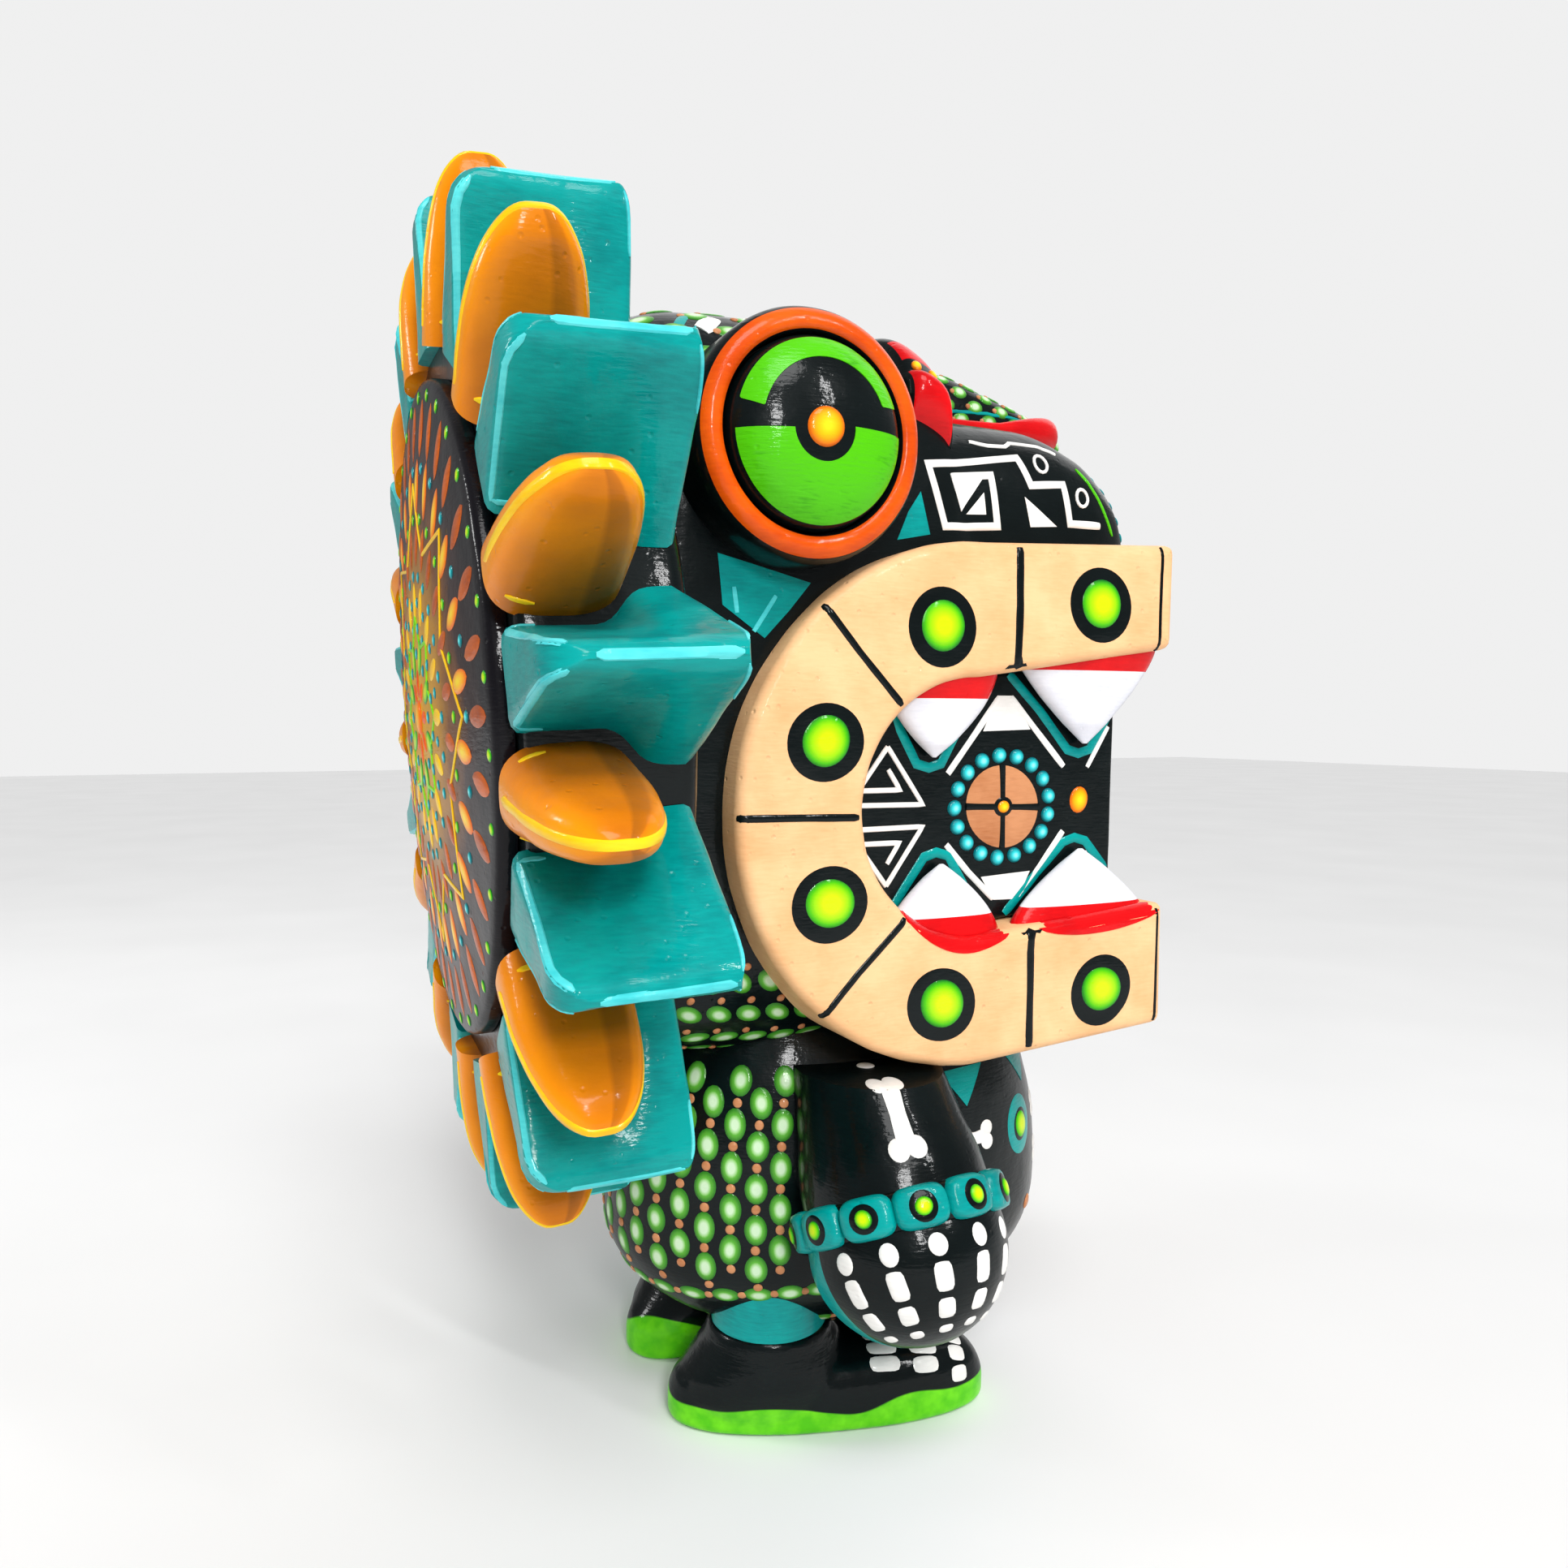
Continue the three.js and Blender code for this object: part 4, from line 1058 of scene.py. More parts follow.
def build_drum():
    back, front = DRUM_BACK_EASE, DRUM_FRONT_EASE
    profile = [(radius, DRUM_BACK) for radius in (0, 40, 70, 80)]
    for t in (0.4, 0.9, 1.57):
        profile.append((DRUM_RADIUS - back + back * math.sin(t),
                        DRUM_BACK + back - back * math.cos(t)))
    profile += [(DRUM_RADIUS, axial) for axial in (-8, 0, 8, DRUM_FRONT - front)]
    for t in (0.4, 0.8, 1.2, 1.57):
        profile.append((DRUM_RADIUS - front + front * math.cos(t),
                        DRUM_FRONT - front + front * math.sin(t)))
    profile += [(radius, DRUM_FRONT) for radius in (60, 30, 0)]
    drum = crest_turned("black", profile, 160).make("drum", ["crest_core"], wobble=0.3)
    crest_front_marks(tree_of(drum))


def build_disc():
    """The slightly crowned back disc; its tone is the share of its radius."""
    sides = 128
    edge = DISC_BACK + DISC_CROWN
    flat = DISC_RADIUS - DISC_SHOULDER
    profile = [(radius, edge + DISC_CROWN) for radius in (0, 40, DISC_RADIUS)]
    profile += [(DISC_RADIUS, edge + 1.5), (DISC_RADIUS - 0.5, edge + 0.5), (flat, edge)]
    for k in range(1, 31):
        radius = flat * (1 - k / 30)
        profile.append((radius, edge - DISC_CROWN * (1 - (radius / flat) ** 2)))
    tones = [radius / DISC_RADIUS for radius, _ in profile for _ in range(sides)] + [0, 0]
    disc = crest_turned("disc", profile, sides, tones=tones)
    disc_paint(tree_of(disc.make("painted_disc", ["crest_disc"], wobble=0.25)))


def build_crest():
    build_drum()
    build_disc()
    for i in range(FEATHERS):
        angle = CREST_TURN + math.tau * i / FEATHERS
        label = str(i + 1).zfill(2)
        if i % 2 == 0:
            teal_feather(angle, "feather_teal_" + label)
        else:
            orange_feather(angle, "feather_orange_" + label)


# ---------------------------------------------------------------- head
def station_rings(stations, squareness, count, rows):
    curve = smooth_curve(stations)
    rings = []
    for forward in steps(stations[0][0], stations[-1][0], rows):
        top, bottom, half = curve(forward)
        middle, rise = (top + bottom) / 2, (top - bottom) / 2
        ring = superellipse(count, half, rise, squareness)
        rings.append([at(forward, s, middle + u) for s, u in ring])
    return rings


def jaw_outline(radius, front, top_front, bottom_front):
    """Side view of a C that opens to the front."""
    curve = arc((MOUTH_FORWARD, MOUTH_UP), radius, radius, 90, 270, 40)
    return [(front, top_front), *curve, (front, bottom_front)]


def mouth_outline(shrink=0.0, front=SLOT_FRONT):
    return jaw_outline(
        MOUTH_RADIUS - shrink, front,
        MOUTH_TOP_FRONT + 2 - shrink, MOUTH_BOTTOM_FRONT + 1 + shrink,
    )


def plate(body, outline, inner, outer, round_off):
    """A side plate with its outer rim eased over a small radius."""
    edge = [Vector(p) for p in outline]
    count = len(edge)
    area = sum(a.x * b.y - b.x * a.y for a, b in zip(edge, edge[1:] + edge[:1]))
    turn = 1 if area > 0 else -1
    inward = []
    for i, p in enumerate(edge):
        before = (p - edge[i - 1]).normalized()
        after = (edge[(i + 1) % count] - p).normalized()
        normal = Vector((-(before.y + after.y), before.x + after.x)) * turn
        normal.normalize()
        sharp = max(0.5, normal.dot(Vector((-before.y, before.x)) * turn))
        inward.append(normal / sharp)
    levels = [(inner, 0), (lerp(inner, outer, 0.5), 0)]
    for t in steps(0, math.pi / 2, 5):
        levels.append((outer - round_off + round_off * math.sin(t), round_off * (1 - math.cos(t))))
    points, faces = [], []
    for side, inset in levels:
        points += [at(p.x + n.x * inset, side, p.y + n.y * inset) for p, n in zip(edge, inward)]
    for r in range(len(levels) - 1):
        for i in range(count):
            j = (i + 1) % count
            faces.append((r * count + i, r * count + j, (r + 1) * count + j, (r + 1) * count + i))
    for level, inset, side in ((len(levels) - 1, round_off, outer), (0, 0, inner)):
        rim = [(p.x + n.x * inset, p.y + n.y * inset) for p, n in zip(edge, inward)]
        flat, inside, _ = fill(rim, 3.0)
        start = len(points)
        points += [at(p.x, side, p.y) for p in flat[count:]]
        index = [level * count + k if k < count else start + k - count for k in range(len(flat))]
        faces += [tuple(index[k] for k in face) for face in inside]
    return body.add(points, faces)


def fret_marks(paint, tree, skin):
    """Stepped fret, square spiral, filled triangles and rings on the side of the snout."""
    fret = [
        (79.5, 228.2), (69.5, 228.0), (67.5, 237.6), (57.5, 236.6), (54.5, 243.4),
        (28, 239.4), (31.8, 224.8), (47.6, 226.0), (45.9, 238.2), (34.6, 237.0),
    ]
    triangles = [
        [(34.3, 237.6), (44.4, 238.4), (37, 228.8)],
        [(38.6, 228.3), (43.6, 233.8), (44.2, 228.6)],
        [(55.4, 233.6), (57.2, 226.4), (65.2, 227.0)],
    ]
    edge = [(42, 250.2), (47, 248.6), (52, 248.8), (54, 251.4), (63, 251.6), (69, 249.4)]
    teal_shapes = [
        [(25.2, 232.5), (27.4, 222.6), (18.4, 220.8), (21.6, 227.6)],
        [(-26.6, 215.4), (-4.3, 209.8), (-9.5, 203.6), (-15.6, 197.2), (-25.6, 204.2)],
    ]
    strokes = [[(-22.9, 208.2), (-22.2, 202.6)], [(-12.9, 206.6), (-18.2, 198.6)]]
    paint.traced(tree, skin, fret, 1.9, "white", ends=0.9)
    for triangle in triangles:
        paint.patch(skin, triangle, "white")
    paint.line(tree, [at(a, 44, z) for a, z in edge], 1.2, "white", ends=0.8)
    for centre in ((61.4, 242.4), (73.6, 234.8)):
        paint.traced(tree, skin, arc(centre, 1.9, 2.2, 0, 345, 14), 0.9, "white", closed=True)
    for shape in teal_shapes:
        paint.patch(skin, shape, "teal")
    for stroke in strokes:
        paint.traced(tree, skin, stroke, 1.3, "cyan", ends=0.8)


def snout_front(paint, tree):
    """Green border, turquoise dots, red wedges and nostrils round the front of the snout."""
    axis = at(60, 0, 226)

    def facing(forward, side, up):
        return local_skin(tree, axis, at(forward, side, up), UP)

    for sign in (1, -1):
        border = [at(lerp(75, 86.5, t), sign * 46, lerp(246, 226.5, t)) for t in steps(0, 1, 8)]
        paint.line(tree, [tree.find_nearest(p)[0] for p in border], 1.1, "green")
        for k, up in enumerate((243, 239, 235, 231, 227)):
            spot = facing(86 + k * 1.3, sign * (37.5 - k * 0.6), up)
            paint.dot(spot, 0, 0, 1.3, 1.3, "turquoise")
            if k % 2 == 0:
                wedge = facing(92, sign * (31 - k), up - 1)
                paint.patch(wedge, [(-1.8, -1.8), (1.8, 0), (-1.8, 1.8)], "red", step=1.5)
        nostril = facing(98, sign * 13, 236)
        paint.dot(nostril, 0, 0, 5.2, 3.8, "copper", 0.4)
        paint.traced(tree, nostril, arc((0, 0), 6.6, 5.2, 0, 350, 24), 0.9, "white", closed=True)
        paint.dot(nostril, 0, 0, 2.4, 1.8, "black", 0.9, shares=FLAT_SHARES)
    chevron = [(-6, -3), (0, 5), (6, -3)]
    paint.traced(tree, facing(98, 0, 232), chevron, 1.3, "white", ends=0.9)


def head_scales(paint, tree):
    """Green ovals with copper dots on the lower rear of the head, under the lips."""
    for row, angle in enumerate((28, 39, 50, 61, 72, 83)):
        turn = math.radians(angle)
        for k in range(8):
            forward = -34 + 7.4 * k + 3.7 * (row % 2)
            for sign in (1, -1):
                toward = at(forward, sign * 60 * math.cos(turn), 140 - 60 * math.sin(turn))
                skin = local_skin(tree, at(forward, 0, 140), toward, raw(-0.5, -sign, 1))
                paint.dot(skin, 0, 0, 2.4, 3.6, "scale", 0.35)
                paint.dot(skin, 3.6, 2.2, 1.0, 1.0, "copper", shares=FLAT_SHARES)


def crown_scales(paint, tree):
    """Staggered green ovals and copper dots over the top of the head behind the brow."""
    marks = ((0, 0, 2.6, 3.7, "scale"), (3.3, 4.75, 1.1, 1.1, "copper"))
    for row in range(9):
        for k in range(-3, 4):
            lean = math.radians((k + 0.5 * (row % 2)) * 9.5)
            scales_over(paint, tree, -38 + 6.6 * row, lean, 190, 90, marks, 0.4)


def crown_stripes(paint, tree):
    """Short white and teal strokes across the top of the head."""
    for sign in (1, -1):
        for forward, width, look in ((-24, 4.4, "white"), (-31, 2.4, "teal"), (14, 2.0, "teal")):
            stripe = [at(forward - 2 + k, sign * (42 - 2.2 * k), 274) for k in range(6)]
            paint.line(tree, [tree.find_nearest(p)[0] for p in stripe], width, look, ends=0.9)


def build_head():
    head = lofted("black", station_rings(HEAD_STATIONS, HEAD_SQUARENESS, 120, 90))
    snout = loft(station_rings(SNOUT_STATIONS, SNOUT_SQUARENESS, 96, 60))
    shelf = block((SHELF_BACK, -60, 150), (SHELF_BACK + 26.5, 60, LIP_TOP_FRONT + 0.3))
    slot = loft([[at(a, s, z) for a, z in mouth_outline()] for s in (-80, 80)])
    piece = head.make("head", ["head_block"], crease=50,
                      cuts=[("UNION", snout), ("DIFFERENCE", shelf), ("DIFFERENCE", slot)])
    soften(piece, 1.1, 5)
    carve_marks(piece.data, 0.3)
    finish_shading(piece.data, 50)
    tree = tree_of(piece)
    side = Paint("white")
    fret_marks(side, tree, side_skin(tree))
    pair(side, "head_side_marks")
    middle = Paint("green")
    for decorate in (snout_front, head_scales, crown_scales, crown_stripes):
        decorate(middle, tree)
    middle.make("head_marks")


def gum_marks(paint, tree, skin):
    """Red gum paint that laps over the lower lip's edge under each lower tooth."""
    for start, end in GUM_SPANS:
        upper, lower = [], []
        for k, forward in enumerate(steps(start, end, GUM_STEPS)):
            behind = max(0, MOUTH_FORWARD - forward)
            beyond = max(0, forward - MOUTH_FORWARD) / (SLOT_FRONT - MOUTH_FORWARD)
            edge = MOUTH_UP - math.sqrt(MOUTH_RADIUS ** 2 - behind ** 2)
            edge += beyond * (MOUTH_BOTTOM_FRONT + 1 - MOUTH_UP + MOUTH_RADIUS) - 0.5
            depth = 0.2 + GUM_DEPTH * math.sin(math.pi * k / GUM_STEPS) ** 0.7
            upper.append((forward, edge))
            lower.append((forward, edge - depth))
        paint.patch(skin, upper + lower[::-1], "red", step=1.2, edge_step=1.2)
        for side, width in ((LIP_OUTER - 0.9, 2.8), (LIP_OUTER - 2.6, 3.0)):
            brim = [at(forward, side, up + 0.9) for forward, up in upper[1:-1]]
            paint.line(tree, brim, width, "red", ends=0.3)


def lip_marks(tree):
    """Black seams, gum paint and glowing dots on the side lips."""
    skin = side_skin(tree)
    lines, dots = Paint("black"), Paint("black")
    for path in (
        [(-25.2, 157.6), (-10, 157.3), (6.6, 157.2)],
        [(-4.6, 204.2), (4, 194.3), (12.4, 185.4), (17, 180.5)],
        [(-4.4, 111.4), (4.5, 121.1), (15.7, 131.6), (18.5, 135)],
    ):
        lines.traced(tree, skin, path, 1.7, "black", ends=0.7)
    for a, top, bottom, mouth_edge, sign in (
        (47.3, 222.4, 189.6, 189.6, 1), (52.8, 129.4, 96.2, 129.4, -1),
    ):
        seam = [(a - 0.3, top), (a, (top + bottom) / 2), (a, bottom)]
        lines.traced(tree, skin, seam, 2.1, "black", ends=0.9)
        foot = [(a - 3.2, mouth_edge - sign * 1.5), (a, mouth_edge + sign * 6),
                (a + 3.2, mouth_edge - sign * 1.5)]
        lines.patch(skin, foot, "black", step=1.5)
    for a, top, bottom in ((90.2, 222, 196.6), (92.2, 130.4, 101)):
        lines.traced(tree, skin, [(a, top), (a, bottom)], 0.9, "black", ends=0.9)
    gum_marks(lines, tree, skin)
    pair(lines, "lip_lines")
    for a, z in ((25.8, 200.3), (71.4, 207.0), (-4.3, 174.0), (-3.0, 137.4), (27.0, 111.5),
                 (74.6, 110.6)):
        lip_dot(dots, skin, a, z, (9.4, 9.0), (6.3, 6.0))
    pair(dots, "lip_dots")


def front_lip(name, low, high):
    """A squared bar between the side lips, with its own seams and dots."""
    corners = [(FRONT_LIP_BACK, low), (LIP_FRONT, low), (LIP_FRONT, high), (FRONT_LIP_BACK, high)]
    section = resample(rounded(corners, LIP_EASE, 4), 48)
    rings = [
        [at(a, side, z) for a, z in section]
        for side in steps(-FRONT_LIP_HALF_WIDTH, FRONT_LIP_HALF_WIDTH, 26)
    ]
    tree = tree_of(lofted("peach", rings).make(name, [name], wobble=0.35, crease=60))
    marks = Paint("black")
    middle = (low + high) / 2
    for side in (-20, 20):
        skin = local_skin(tree, at(120, side, middle), at(90, side, middle), UP)
        lip_dot(marks, skin, 0, 0, (9.2, 9.2), (6.2, 6.2))
    face = LIP_FRONT - 0.2
    for side in (-36, 0, 36):
        marks.line(tree, [at(face, side, low + 1.5), at(face, side, high - 1.5)], 1.9, "black")
    marks.make(name + "_marks")


def build_lips():
    outer = jaw_outline(LIP_RADIUS, LIP_FRONT, LIP_TOP_FRONT, LIP_BOTTOM_FRONT)
    inner = mouth_outline(front=LIP_FRONT)
    outline = rounded([*outer, *reversed(inner)], LIP_EASE, 3)
    even = [outline[0]]
    for p in outline:
        if math.dist(p, even[-1]) > 0.5 and math.dist(p, even[0]) > (0 if len(even) < 3 else 0.5):
            even.append(p)
    lip = plate(Body("peach"), even, LIP_INNER, LIP_OUTER, 2.8)
    lip_marks(tree_of(pair(lip, "lip", ["lip"], wobble=0.55, crease=75)))
    front_lip("lip_front_upper", MOUTH_TOP_FRONT + 1, LIP_TOP_FRONT)
    front_lip("lip_front_lower", LIP_BOTTOM_FRONT, MOUTH_BOTTOM_FRONT)


def turquoise_ring(paint, skin, centre, reach, count, phase, size, rise):
    for k in range(count):
        t = math.tau * (k + phase) / count
        u, v = centre[0] + reach[0] * math.cos(t), centre[1] + reach[1] * math.sin(t)
        paint.dot(skin, u, v, *size, "turquoise", rise)


def core_marks(paint, tree, skin):
    """Medallion, chevrons and triangular spirals on the side of the mouth block."""
    caps = [
        ([(49.3, 185), (53.6, 185), (59.2, 176.6), (45.0, 176.2)],
         [(35.0, 165.8), (42.2, 174.9), (49.8, 184.6)], [(69.8, 167.2), (61.5, 175.9), (53.2, 184.6)]),
        ([(45.2, 139.8), (60.0, 140.6), (56.4, 133.6), (49.0, 133.8)],
         [(34.8, 148.4), (41.4, 141.2), (49.0, 134.2)], [(70.2, 150.4), (63.4, 141.8), (56.8, 134.2)]),
    ]
    for cap, rear, front in caps:
        paint.patch(skin, cap, "white")
        paint.traced(tree, skin, rear, 1.7, "white", ends=0.9)
        paint.traced(tree, skin, front, 1.7, "white", ends=0.9)
    paint.dot(skin, *MEDALLION, 10.9, 10.3, "copper", 0.3, sides=44)
    for path in ([(40.4, 157.6), (62.4, 156.9)], [(51.0, 167.8), (51.4, 146.8)]):
        paint.traced(tree, skin, path, 1.9, "black", ends=1.0, rise=0.45)
    paint.dot(skin, *MEDALLION, 3.2, 3.0, "black", 0.6, shares=FLAT_SHARES)
    paint.dot(skin, *MEDALLION, 1.9, 1.8, "amber", 1.0)
    turquoise_ring(paint, skin, MEDALLION, (14.2, 12.9), 17, 0.5, (2.1, 2.0), 0.8)
    paint.dot(skin, 75.0, 158.4, 2.9, 3.4, "amber", 0.6)
    spiral = [
        ([(17.9, 172.6), (27.9, 158.5), (10.5, 158.7)], 1.3),
        ([(10.5, 162.2), (21.4, 162.2), (18.1, 167.2)], 1.3),
        ([(17.9, 172.6), (10.6, 163.0)], 1.3), ([(77.4, 166.8), (83.8, 177.2)], 1.4),
    ]
    for sign in (1, -1):
        for path, width in spiral:
            flipped = [(a, 155.8 + sign * (z - 155.8)) for a, z in path]
            paint.traced(tree, skin, flipped, width, "white", ends=0.9)


def tooth_shadow_line(start, end, root, tip_a, tip_z):
    """The teal line painted on the mouth block round one tooth."""
    up = 1 if root > tip_z else -1
    shoulder = lerp(root, tip_z, 0.62) - up
    path = [
        (start + 1.5, root - up * 2), (lerp(start, tip_a, 0.55) - 1.2, shoulder),
        (tip_a - 3.5, tip_z - up * 1.6), (tip_a, tip_z - up * 2.6), (tip_a + 3.5, tip_z - up * 1.6),
        (lerp(end, tip_a, 0.55) + 1.2, shoulder), (end - 1.5, root - up * 2),
    ]
    return [p for p in path if p[0] < CORE_FRONT - 1]


def build_mouth():
    core = Body("black")
    plate(core, resample(mouth_outline(0.3, CORE_FRONT), 150), 0, CORE_HALF_WIDTH, 1.2)
    right = core.make("mouth_block_right", ["mouth_core"], wobble=0.2, crease=50)
    core.make("mouth_block_left", ["mouth_core"], wobble=0.2, crease=50, mirrored=True)
    tree = tree_of(right)
    skin = side_skin(tree)
    marks = Paint("white")
    core_marks(marks, tree, skin)
    for _, *shape, _, _ in TEETH:
        marks.traced(tree, skin, tooth_shadow_line(*shape), 2.4, "teal", ends=0.8)
    pair(marks, "mouth_side_marks")
    face = Paint("white")
    front = local_skin(tree, at(120, 22, 163), at(80, 22, 163), UP)
    face.dot(front, 0, 0, 9.0, 9.0, "copper", 0.3, sides=40)
    face.dot(front, 0, 0, 3.0, 3.0, "black", 0.6, shares=FLAT_SHARES)
    face.dot(front, 0, 0, 1.7, 1.7, "amber", 1.0)
    turquoise_ring(face, front, (0, 0), (12, 12), 15, 0, (1.7, 1.7), 0.7)
    for sign in (1, -1):
        chevron = [(-15, sign * 13), (0, sign * 22), (15, sign * 13)]
        face.traced(tree, front, chevron, 1.6, "white", ends=0.9)
    pair(face, "mouth_front_marks")


def build_teeth():
    half_thick = (TOOTH_OUTER - TOOTH_INNER) / 2
    for name, start, end, root, tip_a, tip_z, taper_power, red_rings in TEETH:
        rings = []
        for t in steps(0, math.pi / 2, TOOTH_STEPS):
            rise = math.sin(t)
            taper = 1 - rise ** taper_power * 0.97
            reach = half_thick * (1 - TOOTH_THINNING * rise)
            ring = superellipse(
                TOOTH_SIDES, (end - start) / 2 * taper, reach * min(1, taper * 3 + 0.12), 2.6)
            forward, up = lerp((start + end) / 2, tip_a, rise), lerp(root, tip_z, rise)
            rings.append([at(forward + f, TOOTH_INNER + reach + s, up) for f, s in ring])
        red_faces = red_rings * TOOTH_SIDES
        body = lofted("tooth", rings,
                      by_face=lambda i, red_faces=red_faces: "red" if i < red_faces else "tooth")
        pair(body, f"tooth_{name}", [f"tooth_{name}"], wobble=0.25, crease=60)


def eye_turned(look, profile, **more):
    """A body turned about the sideways axis through the eye, from (radius, side) points."""
    def place(angle, radius, side):
        forward = EYE_FORWARD + radius * math.cos(angle)
        return at(forward, side, EYE_UP + radius * math.sin(angle))

    return turned(look, profile, 128, place, **more)


def build_eyes():
    profile = [
        (0, EYE_ROOT), (EYE_RADIUS, EYE_ROOT), (EYE_RADIUS, 50), (EYE_RADIUS, 55.2),
        (EYE_RADIUS - 0.2, 56.6), (EYE_RADIUS - 0.6, 57.6), (EYE_RADIUS - 1.1, 58.4),
        (EYE_RADIUS - 1.9, 59.2), (EYE_RADIUS - 2.8, 59.8), (EYE_RADIUS - 3.8, EYE_OUTER),
        (EYE_RADIUS - 4.6, 59.9), (DOME_RADIUS + 1, 59.4), (DOME_RADIUS + 0.4, 58),
        (DOME_RADIUS + 0.3, 53), (0, 53),
    ]
    rim = eye_turned("flame", profile, by_face=lambda i: "flame" if 6 <= i // 128 <= 10 else "black")
    pair(rim, "eye_rim", ["eye_rim"], wobble=0.25, crease=50)
    base = EYE_OUTER - DOME_SUNK
    profile = [(0, DOME_SEAT), (DOME_RADIUS, DOME_SEAT)]
    for t in steps(0, math.pi / 2, 20):
        profile.append((DOME_RADIUS * math.cos(t), base + (DOME_TOP - base) * math.sin(t)))
    piece = pair(eye_turned("black", profile), "eye_dome", ["eye_dome"], wobble=0.12, crease=50)
    skin = side_skin(tree_of(piece))
    paint = Paint("green")
    centre = (EYE_FORWARD, EYE_UP)
    upper = arc(centre, IRIS_RADIUS, IRIS_RADIUS, 19, 165, 40)
    upper += arc(centre, IRIS_INNER, IRIS_INNER, 167, 23, 34)
    paint.patch(skin, rounded(upper, 1.6, 3), "green", step=1.8)
    lower = arc(centre, IRIS_RADIUS + 0.2, IRIS_RADIUS + 0.2, 183, 361, 50)
    lower += arc(PUPIL, PUPIL_RADIUS, PUPIL_RADIUS, 365, 185, 26)
    paint.patch(skin, lower, "green", step=1.8)
    paint.dot(skin, *PUPIL, 4.1, 4.2, "amber", 0.8, sides=32)
    pair(paint, "eye_paint")


def brow_point(side_share, along_share, lift):
    """Head surface under the brow; side_share runs -1..1 over the top from side to side."""
    forward = BROW_MIDDLE + BROW_HALF * along_share
    top, bottom, half = smooth_curve(HEAD_STATIONS)(forward)
    middle, rise = (top + bottom) / 2, (top - bottom) / 2
    turn = math.pi / 2 - side_share * BROW_SPAN
    power = 2 / HEAD_SQUARENESS
    right = (half + lift) * signed_power(math.cos(turn), power)
    return at(forward, right, middle + (rise + lift) * abs(math.sin(turn)) ** power)


def brow_look(i):
    """Two red blocks each side with black between them, by face number."""
    width = 2 * BROW_COLUMNS
    share = abs(lerp(-1, 1, (i // width + 0.5) / BROW_ROWS))
    along = abs(lerp(-1, 1, (i % width + 0.5) / BROW_COLUMNS))
    start, end, last = BROW_RED
    return "red" if along < BROW_EDGE and (start < share < end or share > last) else "black"


def build_brow():
    rings = []
    for share in steps(-1, 1, BROW_ROWS):
        swell = max(0.0, 1 - abs(share) ** 14) ** 0.5
        bulge = max(0.0, 1 - ((abs(share) - 0.9) / 0.13) ** 2)
        ring = []
        for along in steps(-1, 1, BROW_COLUMNS):
            rise = (BROW_LIFT + 2.6 * bulge) * (max(0, 1 - abs(along) ** 3) ** 0.5)
            ring.append(brow_point(share, along, -2 + (2 + rise) * swell))
        ring += [brow_point(share, along, -3.5) for along in steps(1, -1, BROW_COLUMNS)[1:-1]]
        rings.append(ring)
    brow = lofted("red", rings, by_face=brow_look)
    tree = tree_of(brow.make("brow", ["brow_bridge"], wobble=0.2, crease=60))
    marks = Paint("amber")
    places = [(0, 0.5)]
    for sign in (1, -1):
        places += [(sign * 0.735, 0.25), (sign * 0.735, -0.45), (sign * 0.34, 0.5)]
    middle = at(BROW_MIDDLE, 0, 200)
    for share, along in places:
        target = brow_point(share, along, 4)
        skin = local_skin(tree, target + (target - middle) * 0.4, middle, FORWARD)
        marks.dot(skin, 0, 0, 1.6, 1.3, "amber", 0.8)
    marks.make("brow_dots")


def nose_marks(tree):
    """Small scales over the nose and an eye spot each side."""
    marks = Paint("scale")
    scale = ((0, 0, 1.9, 2.5, "scale"), (2.2, 10, 0.75, 0.75, "copper"))
    for row in range(11):
        for k in range(-4, 5):
            lean = math.radians((k + 0.5 * (row % 2)) * 20)
            scales_over(marks, tree, 48 + 4.4 * row, lean, 251, 40, scale, 0.45, sides=14)
    for sign in (1, -1):
        spot = local_skin(tree, at(44, 0, 256), at(44, sign * 30, 274), FORWARD)
        marks.dot(spot, 0, 0, 4.2, 5.2, "lime", sides=24)
        marks.dot(spot, 0, 0, 1.8, 2.4, "black", 0.8, sides=16, shares=FLAT_SHARES)
    marks.make("nose_scales")


def nose_lip():
    """The red lip round the front of the nose, thickest at the front."""
    path = []
    for turn in steps(-math.pi / 2, math.pi / 2, NOSE_LIP_STEPS):
        ahead = max(0, math.cos(turn))
        side = NOSE_LIP_HALF_WIDTH * signed_power(math.sin(turn), 0.7)
        path.append(at(NOSE_LIP_BACK + NOSE_LIP_REACH * ahead ** 0.6, side, NOSE_LIP_UP + 2.2 * ahead))
    rings = []
    for i, p in enumerate(path):
        tangent = (path[min(i + 1, NOSE_LIP_STEPS)] - path[max(i - 1, 0)]).normalized()
        across = tangent.cross(Vector((0, 0, 1))).normalized()
        lift = across.cross(tangent)
        t = abs(lerp(-1, 1, i / NOSE_LIP_STEPS))
        size = 1.7 + 3.5 * max(0, 1 - (t / 0.8) ** 3)
        rings.append([
            p + (across * a * 0.8 + lift * b * 0.95) * size * MM
            for a, b in superellipse(24, 1, 1, 2.2)
        ])
    lofted("red", rings).make("nose_lip", ["nose_ridge"], wobble=0.2, crease=70)


def build_nose():
    nose = lofted("black", station_rings(NOSE_STATIONS, NOSE_SQUARENESS, 90, 60))
    tree = tree_of(nose.make("nose", ["nose_ridge"], wobble=0.2, crease=60))
    nose_marks(tree)
    nose_lip()
    seam = Paint("teal")
    for sign in (1, -1):
        line = [at(46 + 3.4 * k, sign * 19, 260.4 + 0.3 * k) for k in range(12)]
        seam.line(tree, line, 1.0, "teal")
    seam.make("nose_seam")


